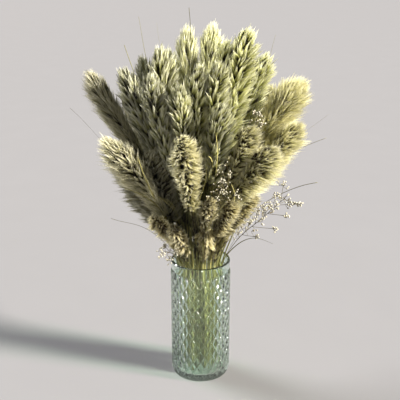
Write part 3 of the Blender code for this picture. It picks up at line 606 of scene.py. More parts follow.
def add_down(shape, head, look, spreads, rng):
    """Thin dull hair on the stalk below the head."""
    span = min(DOWN_LENGTH, head.low - RIM)
    if span < 15.0 * MM:
        return
    count = int(span / DOWN_GAP)
    place = head.low + 8.0 * MM - span * rng.uniform(0.0, 1.0, count) ** 1.3
    angle = rng.uniform(0.0, math.tau, count)
    out = rng.uniform(4.0, 13.0, count) * MM
    rows = [
        head.course.at(place - look.lean * (1 - t), angle + 0.3 * t, 1.0 * MM + out * t**1.3)
        for t in (0.0, 0.5, 1.0)
    ]
    hairs = spread_hairs(np.stack(rows, axis=1), 4, spreads, rng)
    facing = any_way(len(hairs), rng)
    widths = look.hair_width * rng.uniform(0.7, 1.25, len(hairs))
    tones = rng.uniform(0.0, 0.6, len(hairs))
    add_ribbons(shape, hairs, widths, (0.7, 1.0), facing, (0.2, 0.6), tones, HAIR)


def add_sheaths(shape, head, rng):
    """Old leaves that have come loose from the stalk in the vase and lie out towards its wall."""
    for _ in range(rng.integers(1, 4)):
        ends = rng.uniform(4.0, 60.0), RIM / MM - rng.uniform(25.0, 110.0)
        places = np.linspace(*ends, LEAF_STEPS) * MM
        way = head.course.at(places, np.zeros(LEAF_STEPS))
        around = rng.uniform(0.0, math.tau)
        wall = rng.uniform(30.0, 47.0) * MM * np.array([math.cos(around), math.sin(around), 0.0])
        t = np.linspace(0.0, 1.0, LEAF_STEPS)[:, None]
        drift = rng.uniform(0.35, 0.95) * (1 - (1 - t) ** rng.uniform(1.5, 3.0)) * (1 - t**6)
        path = way + drift * (wall - way) * (1.0, 1.0, 0.0)
        facing = any_way(1, rng)
        width = rng.uniform(2.0, 4.2) * MM
        dry = rng.uniform(0.0, 0.5)
        add_ribbons(shape, path[None], width, SHEATH_PROFILE, facing, (dry, dry), 0.0, STALK)


def tuft_places(head, spacing, point, rng, loose=False):
    """Where the tufts end: the place along, the angle round and the distance out, spread over the side of the
    head and the round top on it, evenly or loosely, and the share of that distance out where each starts."""
    dome = point * head.own["pointed"] * head.full
    side = head.tip - head.low - 0.5 * dome
    count = int(math.tau * head.full * side / spacing**2)
    n = np.arange(count)
    place = head.low + side * (0.03 + 0.97 * (n + rng.uniform(0, 1, count)) / count)
    angle = rng.uniform(0.0, math.tau, count) if loose else GOLDEN_ANGLE * n + rng.normal(0.0, 0.25, count)
    out = head.reach(place, angle) * rng.uniform(0.82, 1.1, count)
    crown = int(1.8 * math.pi * head.full**2 / spacing**2)
    n = np.arange(crown)
    share = np.sqrt((n + rng.uniform(0.1, 0.9, crown)) / crown)
    sink = dome * (1.0 - (1.0 - share**2.2) ** (1 / 2.2))
    turn = rng.uniform(0.0, math.tau, crown) if loose else GOLDEN_ANGLE * n + rng.normal(0.0, 0.15, crown)
    rim = head.reach(head.tip - sink, turn) * share * rng.uniform(0.9, 1.06, crown)
    sink = sink + rng.uniform(-5.0, 4.0, crown) * MM
    start = np.append(np.full(count, 0.1), rng.uniform(0.35, 0.65, crown))
    return np.append(place, head.tip - sink), np.append(angle, turn), np.append(out, rim), start


def tuft_paths(head, look, rng):
    """Where the tufts end along the head, and the line of each from the middle of the head, forward and out,
    as (tufts, steps, 3). They grow from the upper side of a head that leans, and hang from there."""
    place, angle, out, start = tuft_places(head, look.tuft_spacing, look.point, rng)
    count = len(place)
    share = np.clip(out / head.full, 0.0, 1.0)
    lean = look.lean * head.sleek * rng.uniform(0.65, 1.25, count) * (0.65 + 0.35 * share)
    root = np.maximum(place - lean, head.low - 6.0 * MM)
    out = np.minimum(out, rng.uniform(0.5, 1.0, count) * (place - head.low + head.own["skirt"] * MM))
    bow = rng.uniform(-look.bow, look.bow, count)
    swing = rng.normal(0.0, look.swing, count)
    way = unit_rows(head.course.read(head.course.ways, root))
    upper = np.array([rng.normal(-0.35, 0.15), rng.normal(0.0, 0.25), 1.0])
    upper = unit_rows(upper - way * (way @ upper)[:, None])
    upper = look.hang * head.full * min(1.0, head.sleek**-2) * upper
    rows = []
    for t in np.linspace(0.0, 1.0, TUFT_STEPS):
        away = out * (start + (1 - start) * t + bow * math.sin(math.pi * t))
        line = head.course.at(root + (place - root) * t, angle + swing * (1 - t), away)
        rows.append(line + upper * (1 - t) ** 1.5 - (0.0, 0.0, head.own["droop"] * MM * t**2))
    return place, np.stack(rows, axis=1)


def drawn_together(head, lines, look, rng):
    """Bends the ends of neighbouring tufts to one point, less so near the tip and in a sleek head, so that
    they make pointed locks with dark gaps between them. A tuft shares most of its tone with its lock."""
    place, angle, out, _ = tuft_places(head, look.lock_spacing, look.point, rng, loose=True)
    count = len(place)
    place = place + rng.uniform(-6.0, 8.0, count) * MM
    points = head.course.at(place, angle, out * rng.uniform(0.85, 1.35, count))
    ahead = lines[:, -1] + 6.0 * MM * unit_rows(lines[:, -1] - lines[:, 0])
    lock = ((ahead[:, None] - points[None]) ** 2).sum(axis=2).argmin(axis=1)
    t = np.linspace(0.0, 1.0, lines.shape[1])[None, :, None]
    draw = look.draw * min(1.0, 1.0 / head.sleek) * rng.uniform(0.4, 1.4, count)
    draw = draw * np.where(place > head.tip - head.full, 0.65, 1.0)
    lines = lines + draw[lock, None, None] * t**2 * (points[lock] - lines[:, -1])[:, None]
    tones = rng.uniform(0.0, 1.0, count)[lock]
    # The tones of a lock take the painted light and shade of its head.
    return lines, head.toned(0.65 * tones + 0.35 * rng.uniform(0.0, 1.0, len(lines)))


def spread_hairs(lines, per_tuft, spreads, rng):
    """Several hairs from each tuft's line, which part in its middle and draw together at its point."""
    hairs = np.repeat(lines, per_tuft, axis=0)
    t = np.linspace(0.0, 1.0, lines.shape[1])[None, :, None]
    length = rng.uniform(0.72, 1.04, (len(hairs), 1, 1))
    hairs = hairs[:, :1] + (hairs - hairs[:, :1]) * length
    for spread, weight in zip(spreads, (1 - t, 3 * t * (1 - t), t)):
        hairs = hairs + rng.normal(0.0, spread, (len(hairs), 1, 3)) * weight
    return hairs


def add_hairs(shape, lines, per_tuft, width, spreads, tufts, rng):
    """The hairs of each tuft, widest in their middle."""
    hairs = spread_hairs(lines, per_tuft, spreads, rng)
    widths = width * rng.uniform(0.7, 1.25, len(hairs))
    facing = any_way(len(hairs), rng)
    profile = (0.7, 1.0) if hairs.shape[1] > 2 else (1.0,)
    add_ribbons(shape, hairs, widths, profile, facing, (0.0, 1.0), np.repeat(tufts, per_tuft), HAIR)


def add_fine_hairs(shape, lines, per_tuft, width, spreads, tufts, rng):
    """Straight hairs that widen each tuft, each a single sliver from its root to its point."""
    wider = [1.7 * spread for spread in spreads]
    add_hairs(shape, lines[:, [0, -1]], per_tuft, width, wider, tufts, rng)


def add_husks(shape, lines, width, tufts, rng):
    """Short papery husks at the foot of each tuft, which show as flecks between the hairs."""
    husks = lines[:, [0, -1]]
    husks[:, 1] = husks[:, 0] + (husks[:, 1] - husks[:, 0]) * rng.uniform(0.45, 0.75, (len(lines), 1))
    add_ribbons(shape, husks, width, (1.0,), any_way(len(husks), rng), (0.15, 1.0), tufts, HAIR)


def add_lances(shape, head, place, lines, look, spreads, tufts, rng):
    """Papery lances that turn their flat sides outwards."""
    lances = spread_hairs(lines, look.lances, spreads, rng)
    outward = lances[:, -1] - head.course.at(np.repeat(place, look.lances), np.zeros(len(lances)))
    facing = np.cross(outward, lances[:, -1] - lances[:, 0])
    facing = unit_rows(facing) + rng.normal(0.0, 0.5, facing.shape)
    widths = head.own["coarse"] * look.lance_width * rng.uniform(0.7, 1.2, len(lances))
    tufts = np.repeat(tufts, look.lances)
    add_ribbons(shape, lances, widths, (0.55, 1.0), facing, (0.0, 1.0), tufts, HAIR)


def add_awns(shape, lines, look, spreads, tufts, rng):
    """Stiffer hairs from some of the tufts, which stand out past the rest and make the outline spiky."""
    awned = rng.uniform(0.0, 1.0, len(lines)) < look.awned
    awns = spread_hairs(lines[awned], 1, spreads, rng)
    ways = unit_rows(awns[:, -1] - awns[:, 1])
    awns[:, -1] += look.awn_reach * rng.uniform(0.3, 1.0, (len(awns), 1)) * ways
    facing = any_way(len(awns), rng)
    add_ribbons(shape, awns, look.awn_width, (0.35, 1.0), facing, (0.1, 1.0), tufts[awned], HAIR)


def grown_head(node, look, materials, lances):
    """A head in tufts on its stalk: soft, of fine hair, or a reed's, of lances with silky hair between."""
    rng = seeded(node)
    head = Head(node, look.tip_gap)
    shape = Shape()
    spreads = (look.root_spread, look.belly_spread, look.tip_spread)
    add_stalk(shape, head, rng)
    add_leaves(shape, head, rng)
    add_wisps(shape, head)
    # A dark core of painted shade.
    add_dark_core(shape, head, look.heart, rng)
    add_down(shape, head, look, spreads, rng)
    add_sheaths(shape, head, rng)
    place, lines = tuft_paths(head, look, rng)
    lines, tufts = drawn_together(head, lines, look, rng)
    if lances:
        add_lances(shape, head, place, lines, look, spreads, tufts, rng)
        add_fine_hairs(shape, lines, look.hairs, look.hair_width, spreads, tufts, rng)
    else:
        add_hairs(shape, lines, look.hairs, look.hair_width, spreads, tufts, rng)
        add_fine_hairs(shape, lines, look.fine_hairs, look.fine_width, spreads, tufts, rng)
        add_husks(shape, lines, look.husk_width, tufts, rng)
    add_awns(shape, lines, look, spreads, tufts, rng)
    # The head's side of the vase sets its painted light tint.
    return shape.to_object(node + "_head", materials, head.side_light_tint())


# Settings


def mm_setting(name, about, default):
    """A length that is shown in the scene's unit, with its default in millimetres."""
    length = {"default": default * MM, "min": 0.0, "unit": "LENGTH", "precision": 5}
    return bpy.props.FloatProperty(name=name, description=about, **length)


def number_setting(name, about, default):
    return bpy.props.FloatProperty(name=name, description=about, default=default)


def count_setting(name, about, default):
    return bpy.props.IntProperty(name=name, description=about, default=default, min=0)


def colour_setting(name, about, default):
    """A colour, with its default as an sRGB hex value."""
    colour = {"default": hex_colour(default), "size": 4, "subtype": "COLOR", "min": 0.0, "max": 1.0}
    return bpy.props.FloatVectorProperty(name=name, description=about, **colour)


HEAD_SETTINGS = {
    "tuft_spacing": (mm_setting, "Distance between neighbouring tufts"),
    "lock_spacing": (mm_setting, "Distance between the points of neighbouring locks"),
    "draw": (number_setting, "How far tufts are drawn to the point of their lock"),
    "hairs": (count_setting, "Hairs in a tuft"),
    "hair_width": (mm_setting, "Width of a hair, coarser than the real 0.1 mm to show"),
    "fine_hairs": (count_setting, "Finer straight hairs in a tuft"),
    "fine_width": (mm_setting, "Width of a fine hair at its root, coarser than the real 0.1 mm to show"),
    "husk_width": (mm_setting, "Width of the papery husk in a tuft"),
    "lances": (count_setting, "Papery lances in a tuft"),
    "lance_width": (mm_setting, "Width of a papery lance"),
    "awned": (number_setting, "Share of the tufts that have an awn"),
    "awn_width": (mm_setting, "Width of an awn in its middle"),
    "awn_reach": (mm_setting, "How far the longest awns stand out past their tuft"),
    "root_spread": (mm_setting, "How far apart the hairs or lances of a tuft start"),
    "belly_spread": (mm_setting, "How far a tuft opens in its middle"),
    "tip_spread": (mm_setting, "How far apart the hairs or lances of a tuft end"),
    "lean": (mm_setting, "How far a tuft leans towards the tip of the head"),
    "tip_gap": (mm_setting, "Length of the head beyond the last ring of its solid"),
    "point": (number_setting, "Height of the round top, in radii"),
    "hang": (number_setting, "How far up its side a leaning head's tufts start, in radii"),
    "bow": (number_setting, "How far tufts arch in or out, against their reach"),
    "swing": (number_setting, "How far tufts turn aside"),
    # The dark core is painted shade in the middle of a head.
    "heart": (number_setting, "Radius of the packed middle, as a share of the head's"),
    # The root colour is partly painted shade deep in the head.
    "root": (colour_setting, "Colour deep in the head"),
    "middle": (colour_setting, "Colour half-way along a hair or lance"),
    "tip": (colour_setting, "Bleached colour of the ends"),
}


def head_settings(**defaults):
    """The settings of one kind of head, each named after its label, from the defaults of that kind."""
    settings = {}
    for label, default in defaults.items():
        setting, about = HEAD_SETTINGS[label]
        settings[label] = setting(label.replace("_", " ").capitalize(), about, default)
    return settings


class DriedVaseGlass(bpy.types.PropertyGroup):
    tint: colour_setting("Tint", "Colour that the glass gives to what is seen through it", "#E4F2E8")
    relief: mm_setting("Lens relief", "Height of a lens over the groove round it", 3.0)
    ripple: mm_setting("Ripple", "Width of the slow waves that pressing leaves in the glass", 9.0)


class DriedVaseStalk(bpy.types.PropertyGroup):
    green: colour_setting("Foot", "Colour of a stalk in the vase", "#2F3819")
    straw: colour_setting("Top", "Colour of a stalk below its head", "#A39B5C")
    joint: colour_setting("Joint", "Colour of the joints of a stalk", "#5A4524")
    fibre: mm_setting("Fibre", "Width of the flutes along a stalk, coarser than the real 0.3 mm to show", 0.9)


class DriedVasePlume(bpy.types.PropertyGroup):
    __annotations__ = head_settings(
        tuft_spacing=6.1, lock_spacing=9.5, draw=0.6, hairs=3, hair_width=0.85, fine_hairs=9,
        fine_width=0.7, husk_width=1.5, awned=0.3, awn_width=2.2, awn_reach=7.5, root_spread=0.6,
        belly_spread=0.8, tip_spread=0.4, lean=27.0, tip_gap=14.0, point=0.8, hang=0.45, bow=0.18,
        swing=0.45, heart=0.36,
        root="#35290F", middle="#C6C282", tip="#F8F3D1",
    )


class DriedVaseReed(bpy.types.PropertyGroup):
    __annotations__ = head_settings(
        tuft_spacing=7.4, lock_spacing=11.0, draw=0.7, lances=6, lance_width=2.0, hairs=8, hair_width=0.7,
        awned=0.3, awn_width=3.6, awn_reach=10.0, root_spread=0.9, belly_spread=0.8, tip_spread=0.5,
        lean=46.0, tip_gap=14.0, point=1.3, hang=0.3, bow=0.08, swing=0.25, heart=0.36,
        root="#2C270D", middle="#CCCD79", tip="#FAF9D8",
    )


class DriedVaseTail(bpy.types.PropertyGroup):
    __annotations__ = head_settings(
        tuft_spacing=5.3, lock_spacing=8.0, draw=0.6, hairs=3, hair_width=0.65, fine_hairs=8,
        fine_width=0.6, husk_width=1.4, awned=0.25, awn_width=1.7, awn_reach=5.0, root_spread=0.7,
        belly_spread=0.7, tip_spread=0.4, lean=18.0, tip_gap=9.1, point=0.8, hang=0.4, bow=0.1,
        swing=0.28, heart=0.45,
        root="#3D2D12", middle="#C7BB7B", tip="#F7F0CB",
    )


class DriedVaseBlade(bpy.types.PropertyGroup):
    width: mm_setting("Width", "Width of a blade in its middle", 3.0)
    fold: mm_setting("Fold", "Depth of the fold along a blade", 0.6)
    wave: mm_setting("Wave", "How far a blade wanders from its line", 3.0)
    foot: colour_setting("Foot", "Colour of a blade in the vase", "#4A5222")
    end: colour_setting("End", "Colour of a blade's end", "#6E6A33")
    fibre: mm_setting("Fibre", "Width of the ribs along a blade, coarser than the real ones to show", 0.7)


class DriedVaseSpray(bpy.types.PropertyGroup):
    bud_width: mm_setting("Bud width", "Width of a bud", 4.3)
    bud_length: mm_setting("Bud length", "Length of a bud", 5.2)
    twig: colour_setting("Twig", "Colour of the wiry twigs", "#5B5430")
    bark: mm_setting("Bark", "Width of the ridges along a twig", 0.5)
    scale: colour_setting("Scale", "Colour of a bud near its stalk", "#83705A")
    light: colour_setting("Edge", "Colour of a bud's end", "#C8C4B1")


class DriedVaseStage(bpy.types.PropertyGroup):
    floor: colour_setting("Floor", "Colour of the studio floor", "#828184")
    key: number_setting("Key", "Strength of the warm lamp on the right", 13.0)
    side: number_setting("Side", "Strength of the cool lamp on the left", 5.4)
    strip: number_setting("Strip", "Power of the narrow lamps that glint in the glass", 130.0)
    sky: number_setting("Sky", "Strength of the even light", 0.11)


# Operators


def put_in_place(piece, node):
    """Attach a piece to the body that it moves with, and hide the solid that it replaces."""
    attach(piece, "root")
    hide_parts(node)


class BuildVase(bpy.types.Operator):
    """Build the pressed-glass vase"""

    bl_idname = "dried_vase.build_vase"
    bl_label = "Vase"

    COLUMNS = 48  # half lenses round the vase
    ROWS = 17  # half lenses up the pattern
    ACROSS = 6  # steps across a half lens
    UP = 6  # steps up a half lens
    OGEE = 0.55  # how far a lens's outline bends from a straight-sided diamond
    SWELL = 0.8  # under 1 gives a lens a flat crown and steep edges
    # Radii and heights in mm.
    SIDE = 60.0  # to the crown of a lens
    PATTERN = (6.0, 230.0)  # where the lenses start and end
    FOOT = ((51.0, 0.0), (53.0, 0.15), (55.4, 1.0), (56.7, 2.4), (57.4, 4.0))  # its rounded edge
    BAND = 58.6  # radius of the plain band under the lip
    BAND_RINGS = ((58.1, 231.6), (BAND, 233.0), (BAND, 240.0))
    LIP = 2.2  # height of the rounded lip
    INSIDE = 53.5
    WALL_RINGS = (160.0, 80.0)  # heights, down the inside
    ROUNDING = 6.0  # where the wall meets the floor
    FLOOR = 14.0
    FLOOR_RINGS = (30.0, 8.0)  # radii

    def outline(self, b):
        """Half the width of a lens at a share b of the way from its middle to its point."""
        return (1 - self.OGEE) * (1 - b) + self.OGEE * 0.5 * (1 + np.cos(np.pi * b))

    def columns(self, level):
        """Angles round the vase at this level, with a point on each groove, and how high each stands."""
        row = int(min(level, self.ROWS - 1e-6))
        b = level - row
        half = self.ACROSS // 2
        angles, heights = [], []
        for column in range(self.COLUMNS):
            first_low = (column + row) % 2 == 0
            near_b, far_b = (b, 1 - b) if first_low else (1 - b, b)
            near_row, far_row = (row, row + 1) if first_low else (row + 1, row)
            edge = min(max(float(self.outline(near_b)), 0.06), 0.94)
            for n in range(self.ACROSS):
                if n < half:
                    t, bare, point = n / half, near_row, near_b
                    a = edge * t
                else:
                    t, bare, point = 1 - (n - half) / half, far_row, far_b
                    a = edge + (1 - edge) * (n - half) / half
                crown = (1 - t * t) ** self.SWELL * math.sqrt(max(0.0, 1 - point * point))
                angles.append(column + a)
                heights.append(crown if 0 < bare < self.ROWS else 0.0)
        return np.array(angles) * math.tau / self.COLUMNS, np.array(heights)

    def profile(self, relief):
        """Rows of (angles, radii, height): from the base up the outside, over the lip, down to the floor."""
        low, high = self.PATTERN
        pattern = []
        for level in np.linspace(0.0, self.ROWS, self.ROWS * self.UP + 1):
            angles, heights = self.columns(level)
            z = low + (high - low) * level / self.ROWS
            pattern.append((angles, self.SIDE * MM - relief + relief * heights, z * MM))
        band, inside, round_off, floor = self.BAND, self.INSIDE, self.ROUNDING, self.FLOOR
        middle, half = 0.5 * (band + inside), 0.5 * (band - inside)
        lip = RIM / MM - self.LIP
        rest = [*self.BAND_RINGS, (band, lip)]
        for turn in np.linspace(0.0, np.pi, 9)[1:-1]:
            rest.append((middle + half * math.cos(turn), lip + self.LIP * math.sin(turn)))
        rest += [(inside, z) for z in (lip, *self.WALL_RINGS, floor + round_off)]
        for turn in np.linspace(0.0, 0.5 * np.pi, 5)[1:]:
            down = floor + round_off - round_off * math.sin(turn)
            rest.append((inside - round_off + round_off * math.cos(turn), down))
        rest += [(radius, floor) for radius in self.FLOOR_RINGS]
        plain = self.columns(0.0)[0]
        foot, rest = (
            [(plain, np.full(len(plain), radius * MM), z * MM) for radius, z in part]
            for part in (self.FOOT, rest)
        )
        return foot + pattern + rest

    def execute(self, context):
        look = context.scene.dried_vase_glass
        rows = self.profile(look.relief)
        middles = [(0.0, 0.0, 0.0), (0.0, 0.0, self.FLOOR * MM)]
        shape = Shape()
        points = np.vstack([level_rings(rows), middles])
        shape.add(points, closed_walls(len(rows), self.COLUMNS * self.ACROSS), 0.0, 0.0)
        glass = pressed_glass("soda_lime_glass_pressed", tuple(look.tint), look.ripple)
        put_in_place(shape.to_object("vase_glass", [glass]), "vase")
        return {"FINISHED"}


def stalk_material(context):
    look = context.scene.dried_vase_stalk
    name = "grass_stalk_dried"
    found = bpy.data.materials.get(name)
    return found or dried_stalk(name, look.green, look.straw, look.joint, look.fibre)


def build_heads(context, prefix, look, hair, lances=False):
    """One piece for each solid whose name starts with prefix."""
    for node in nodes_named(prefix):
        head = grown_head(node, look, [stalk_material(context), hair], lances)
        put_in_place(head, node)
    return {"FINISHED"}


class BuildPlumes(bpy.types.Operator):
    """Build the soft cream plumes"""

    bl_idname = "dried_vase.build_plumes"
    bl_label = "Plumes"

    def execute(self, context):
        look = context.scene.dried_vase_plume
        hair = dried_hair("plume_hair_air_dried", look, roughness=0.75, glow=0.28)
        return build_heads(context, "plume_", look, hair)


class BuildReeds(bpy.types.Operator):
    """Build the tall reed heads of pointed tufts"""

    bl_idname = "dried_vase.build_reeds"
    bl_label = "Reeds"

    def execute(self, context):
        look = context.scene.dried_vase_reed
        hair = dried_hair("reed_spikelets_air_dried", look, roughness=0.55, glow=0.25)
        return build_heads(context, "reed_", look, hair, lances=True)


class BuildTails(bpy.types.Operator):
    """Build the small golden tails at the rim"""

    bl_idname = "dried_vase.build_tails"
    bl_label = "Tails"

    def execute(self, context):
        look = context.scene.dried_vase_tail
        hair = dried_hair("tail_hair_air_dried", look, roughness=0.7, glow=0.28)
        return build_heads(context, "tail_", look, hair)


class BuildBlades(bpy.types.Operator):
    """Build the thin arching grass blades"""

    bl_idname = "dried_vase.build_blades"
    bl_label = "Blades"

    STEPS = 90
    STRAIGHT = 0.27  # metres from its foot to where a blade starts to wander
    LOOSENS = 0.1  # metres from there to where it wanders freely
    WAVES = 3.1  # along a blade

    def gutter(self, node, look):
        """A narrow folded gutter, closed along both edges, that thins to its end."""
        rng = seeded(node)
        rings, _ = rings_of(node)
        course = Course([ring.mean(axis=0) for ring in rings])
        places = np.linspace(0.0, course.length, self.STEPS)
        share = places / course.length
        turn = rng.uniform(0.0, math.tau) + 1.5 * share
        waves = np.sin(math.tau * (self.WAVES * share + rng.uniform(0, 1)))
        free = np.clip((places - self.STRAIGHT) / self.LOOSENS, 0.0, 1.0)
        centre = course.at(places, turn + 1.6, look.wave * waves * free * share)
        side, up = (course.at(places, a, 1.0) - course.at(places, a) for a in (turn, turn + 0.5 * math.pi))
        half = (0.5 * look.width * (1.0 - 0.65 * share**1.5))[:, None]
        fold = (look.fold * (1.0 - 0.8 * share))[:, None]
        rows = [centre - half * side, centre - fold * up, centre + half * side, centre - 0.35 * fold * up]
        end = 4 * (self.STEPS - 1)
        caps = [(2, 1, 0), (3, 2, 0), (end, end + 1, end + 2), (end, end + 2, end + 3)]
        shape = Shape()
        faces = np.concatenate([walls(self.STEPS, 4), caps])
        shape.add(np.stack(rows, axis=1).reshape(-1, 3), faces, np.repeat(share, 4), 0.0)
        return shape

    def execute(self, context):
        look = context.scene.dried_vase_blade
        leaf = dried_stalk("grass_blade_dried", look.foot, look.end, look.end, look.fibre)
        for node in nodes_named("blade_"):
            piece = self.gutter(node, look).to_object(node + "_leaf", [leaf])
            put_in_place(piece, node)
        return {"FINISHED"}


class BuildSprays(bpy.types.Operator):
    """Build the wiry sprays of papery buds"""

    bl_idname = "dried_vase.build_sprays"
    bl_label = "Sprays"

    LOBES = 4
    SIDES = 8
    ROUNDS = 5
    END_BUD = ((0.8, 1.1), (0.85, 1.1))  # how widths and lengths vary
    SIDE_BUD = ((0.75, 1.0), (0.75, 1.0))
    FORKS = ((4.0, 0.0, 1), (15.0, 11.0, 2), (26.0, 14.0, 2))  # mm below the end, mm aside, buds
    USUAL_BUDS = (0.8, 1.0)  # size of the buds and width of the forks
    FRONT_BUDS = (0.62, 1.9)
    STALKLET = 0.32 * MM  # radius

    def add_bud(self, shape, centre, way, size, spans, rng):
        """A four-lobed bud round its middle, with a share from its stalk to its end."""
        width, length = (full * rng.uniform(*span) for full, span in zip(size, spans))
        way = way / np.linalg.norm(way)
        marks = centre + np.linspace(-0.5, 0.5, 5)[:, None] * length * way
        t = np.linspace(0.0, 1.0, self.ROUNDS)
        radii = 0.5 * width * np.sin(math.pi * (0.08 + 0.84 * t**0.85))
        points, faces, share = tube(Course(marks), t * length, radii, self.SIDES)
        # The lobes part towards the end of the bud, where its middle sinks a little.
        turn = np.append(np.tile(math.tau * np.arange(self.SIDES) / self.SIDES, self.ROUNDS), [0.0, 0.0])
        axis = centre + ((points - centre) @ way)[:, None] * way
        points = axis + (points - axis) * (1.0 + 0.2 * share * np.cos(self.LOBES * turn))[:, None]
        points[-1] -= 0.1 * length * way
        shape.add(points, faces, share, rng.uniform(0.0, 1.0))

    def add_stalklet(self, shape, foot, end, aside):
        """A fine stalk that bows to the side on its way to a bud."""
        course = Course([foot, 0.5 * (foot + end) + 0.8 * MM * aside, end])
        points, faces, _ = tube(course, np.linspace(0.0, course.length, 4), np.full(4, self.STALKLET), 3)
        shape.add(points, faces, 0.6, 0.0)

    def add_twigs(self, node, points, faces, bud_faces, materials):
        """The spray's own solid, rounded off. That takes away from the thickness, so it is swelled a little
        first."""
        flat = np.cross(points[faces[:, 1]] - points[faces[:, 0]], points[faces[:, 2]] - points[faces[:, 0]])
        outward = np.zeros_like(points)
        np.add.at(outward, faces.ravel(), np.repeat(flat, 3, axis=0))
        wires = Shape()
        wires.add(points + 0.22 * MM * unit_rows(outward), faces, 0.6, 0.0, bud_faces)
        twigs = wires.to_object(node + "_twigs", materials)
        round_off = twigs.modifiers.new("Round", "SUBSURF")
        round_off.levels = round_off.render_levels = 1
        return twigs

    def add_cluster(self, buds, stalks, end, belly, wood, size, loose, rng):
        """The bud at the end of a twig, those beside it, and those on the longer side stalks below it."""
        way = unit_rows(end - belly)
        self.add_bud(buds, belly + 0.4 * MM * way, way, size, self.END_BUD, rng)
        side = unit_rows(np.cross(way, (0.31, 0.22, 0.93)))
        second = np.cross(way, side)
        turn = rng.uniform(0.0, math.tau)
        for below, reach, count in self.FORKS[: rng.integers(1, 4)]:
            turn += rng.uniform(1.6, 2.8)
            branch = math.cos(turn) * side + math.sin(turn) * second
            foot = belly - below * MM * way
            if reach:
                foot = wood[np.linalg.norm(wood - foot, axis=1).argmin()]
            spread = rng.uniform(0.2, 0.6) * way + rng.uniform(0.7, 1.1) * branch
            fork = foot + loose * reach * MM * spread
            if reach:
                self.add_stalklet(stalks, foot, fork, branch)
            for _ in range(count):
                turn += rng.uniform(1.8, 2.8)
                aside = math.cos(turn) * side + math.sin(turn) * second
                tip = fork + rng.uniform(2.0, 5.0) * MM * way + rng.uniform(2.6, 5.2) * MM * aside
                self.add_stalklet(stalks, fork, tip, aside)
                self.add_bud(buds, tip, way + 0.9 * aside, size, self.SIDE_BUD, rng)

    def execute(self, context):
        look = context.scene.dried_vase_spray
        twig = dried_stalk("spray_twig_dried", look.twig, look.twig, look.twig, look.bark)
        papery = papery_bud("spray_bud_papery", look.scale, look.light)
        for node in nodes_named("spray_"):
            rng = seeded(node)
            points, faces = welded(node)
            near = neighbours(points, faces)
            ends = [n for n, others in enumerate(near) if len(others) == 3 and points[n][2] > RIM]
            bellies = sorted(set().union(*(near[n] for n in ends), ends))
            twigs = self.add_twigs(node, points, faces, np.isin(faces, bellies).any(axis=1), [twig, papery])
            wood = np.delete(points, bellies, axis=0)
            small, loose = self.FRONT_BUDS if node == "spray_front" else self.USUAL_BUDS
            size = (small * look.bud_width, small * look.bud_length)
            buds, stalks = Shape(), Shape()
            for n in ends:
                belly = points[sorted(near[n])].mean(axis=0)
                self.add_cluster(buds, stalks, points[n], belly, wood, size, loose, rng)
            buds.join(stalks, 1)
            put_in_place(twigs, node)
            put_in_place(buds.to_object(node + "_buds", [papery, twig]), node)
        return {"FINISHED"}


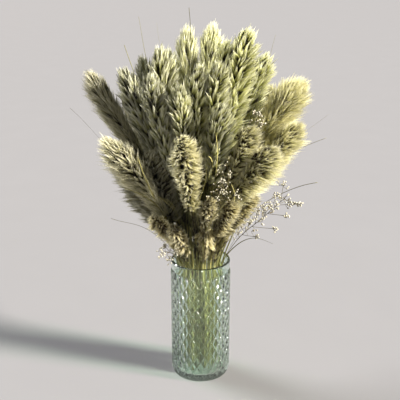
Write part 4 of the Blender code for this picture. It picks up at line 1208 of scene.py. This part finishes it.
class BuildStage(bpy.types.Operator):
    """Build the floor, the lamps and the camera"""

    bl_idname = "dried_vase.build_stage"
    bl_label = "Stage"

    AIM = mathutils.Vector((0.0, 0.0, 0.4))
    AROUND = 96  # sides of the floor
    FLAT = 4.0  # metres of level floor, which rises slowly from there to its edge
    EDGE = 100.0
    RISE = 0.0012
    PITCH = 18.48  # degrees that the camera looks down, solved with its place from the vase's rim and base
    STRIPS = {  # where each narrow lamp stands, and its share of the power
        "front_strip": ((0.15, -1.75, 0.75), 1.0),
        "left_strip": ((-1.6, 0.5, 0.5), 1.6),
        "right_strip": ((1.5, -1.0, 0.6), 1.2),
    }

    def lamp(self, name, kind, place, strength, colour, **settings):
        """A lamp at this place that looks at the middle of the arrangement."""
        data = bpy.data.lights.new(name, kind)
        data.energy = strength
        data.color = hex_colour(colour)[:3]
        for setting, value in settings.items():
            setattr(data, setting, value)
        lamp = bpy.data.objects.new(name, data)
        bpy.context.scene.collection.objects.link(lamp)
        lamp.location = place
        lamp.rotation_euler = (self.AIM - mathutils.Vector(place)).to_track_quat("-Z", "Y").to_euler()
        return lamp

    def add_floor(self, colour):
        radii = np.concatenate([[0.0, 0.5 * self.FLAT], np.linspace(self.FLAT, self.EDGE, 25)])
        heights = self.RISE * np.maximum(radii - self.FLAT, 0.0) ** 2
        turns = math.tau * np.arange(self.AROUND) / self.AROUND
        points = level_rings([(turns, radius, z) for radius, z in zip(radii, heights)])
        shape = Shape()
        shape.add(points, walls(len(radii), self.AROUND)[:, ::-1], 0.0, 0.0)
        shape.to_object("studio_floor", [painted_floor("matt_painted_floor", colour)])

    def add_lamps(self, look):
        self.lamp("warm_key", "SUN", (1.7, -0.5, 1.25), look.key, "#FFFAEE", angle=math.radians(10.0))
        self.lamp("cool_side", "SUN", (-1.3, 0.8, 1.5), look.side, "#F4F4F3", angle=math.radians(25.0))
        # The narrow lamps glint in the lenses of the vase, and light nothing else.
        glass_only = bpy.data.collections.new("glass_only")
        vase = bpy.data.objects.get("vase_glass")
        if vase:
            glass_only.objects.link(vase)
        panel = {"shape": "RECTANGLE", "size": 0.18, "size_y": 0.7}
        for name, (place, share) in self.STRIPS.items():
            strip = self.lamp(name, "AREA", place, share * look.strip, "#FFFFFF", **panel)
            strip.light_linking.receiver_collection = glass_only

    def execute(self, context):
        scene = context.scene
        look = scene.dried_vase_stage
        self.add_floor(look.floor)
        self.add_lamps(look)
        world = bpy.data.worlds.new("studio_light")
        world.use_nodes = True
        sky = world.node_tree.nodes["Background"]
        sky.inputs["Color"].default_value = hex_colour("#F2F2F0")
        sky.inputs["Strength"].default_value = look.sky
        scene.world = world
        data = bpy.data.cameras.new("photo_view")
        data.sensor_width = 36.0
        data.lens = 61.85
        data.shift_x = -0.0013
        camera = bpy.data.objects.new("photo_view", data)
        scene.collection.objects.link(camera)
        camera.location = (0.0, -1.2596, 0.7913)
        camera.rotation_euler = (math.radians(90.0 - self.PITCH), 0.0, 0.0)
        scene.camera = camera
        scene.view_settings.view_transform = "Standard"
        return {"FINISHED"}


SETTINGS = {
    "dried_vase_glass": DriedVaseGlass,
    "dried_vase_stalk": DriedVaseStalk,
    "dried_vase_plume": DriedVasePlume,
    "dried_vase_reed": DriedVaseReed,
    "dried_vase_tail": DriedVaseTail,
    "dried_vase_blade": DriedVaseBlade,
    "dried_vase_spray": DriedVaseSpray,
    "dried_vase_stage": DriedVaseStage,
}
OPERATORS = (BuildVase, BuildPlumes, BuildReeds, BuildTails, BuildBlades, BuildSprays, BuildStage)


class DriedVasePanel(bpy.types.Panel):
    """The pieces of the arrangement and their settings"""

    bl_idname = "VIEW3D_PT_dried_vase"
    bl_label = "Dried grasses"
    bl_space_type = "VIEW_3D"
    bl_region_type = "UI"
    bl_category = "Dried grasses"

    def draw(self, context):
        for operator in OPERATORS:
            self.layout.operator(operator.bl_idname)
        for name, group in SETTINGS.items():
            box = self.layout.box()
            for setting in group.__annotations__:
                box.prop(getattr(context.scene, name), setting)


def register():
    for name, group in SETTINGS.items():
        bpy.utils.register_class(group)
        setattr(bpy.types.Scene, name, bpy.props.PointerProperty(type=group))
    for shown in (*OPERATORS, DriedVasePanel):
        bpy.utils.register_class(shown)


def unregister():
    for shown in (DriedVasePanel, *reversed(OPERATORS)):
        bpy.utils.unregister_class(shown)
    for name, group in reversed(SETTINGS.items()):
        delattr(bpy.types.Scene, name)
        bpy.utils.unregister_class(group)


def main():
    register()
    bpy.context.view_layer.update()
    for operator in OPERATORS:
        group, call = operator.bl_idname.split(".")
        getattr(getattr(bpy.ops, group), call)()
    bpy.context.view_layer.update()


if __name__ == "__main__":
    main()
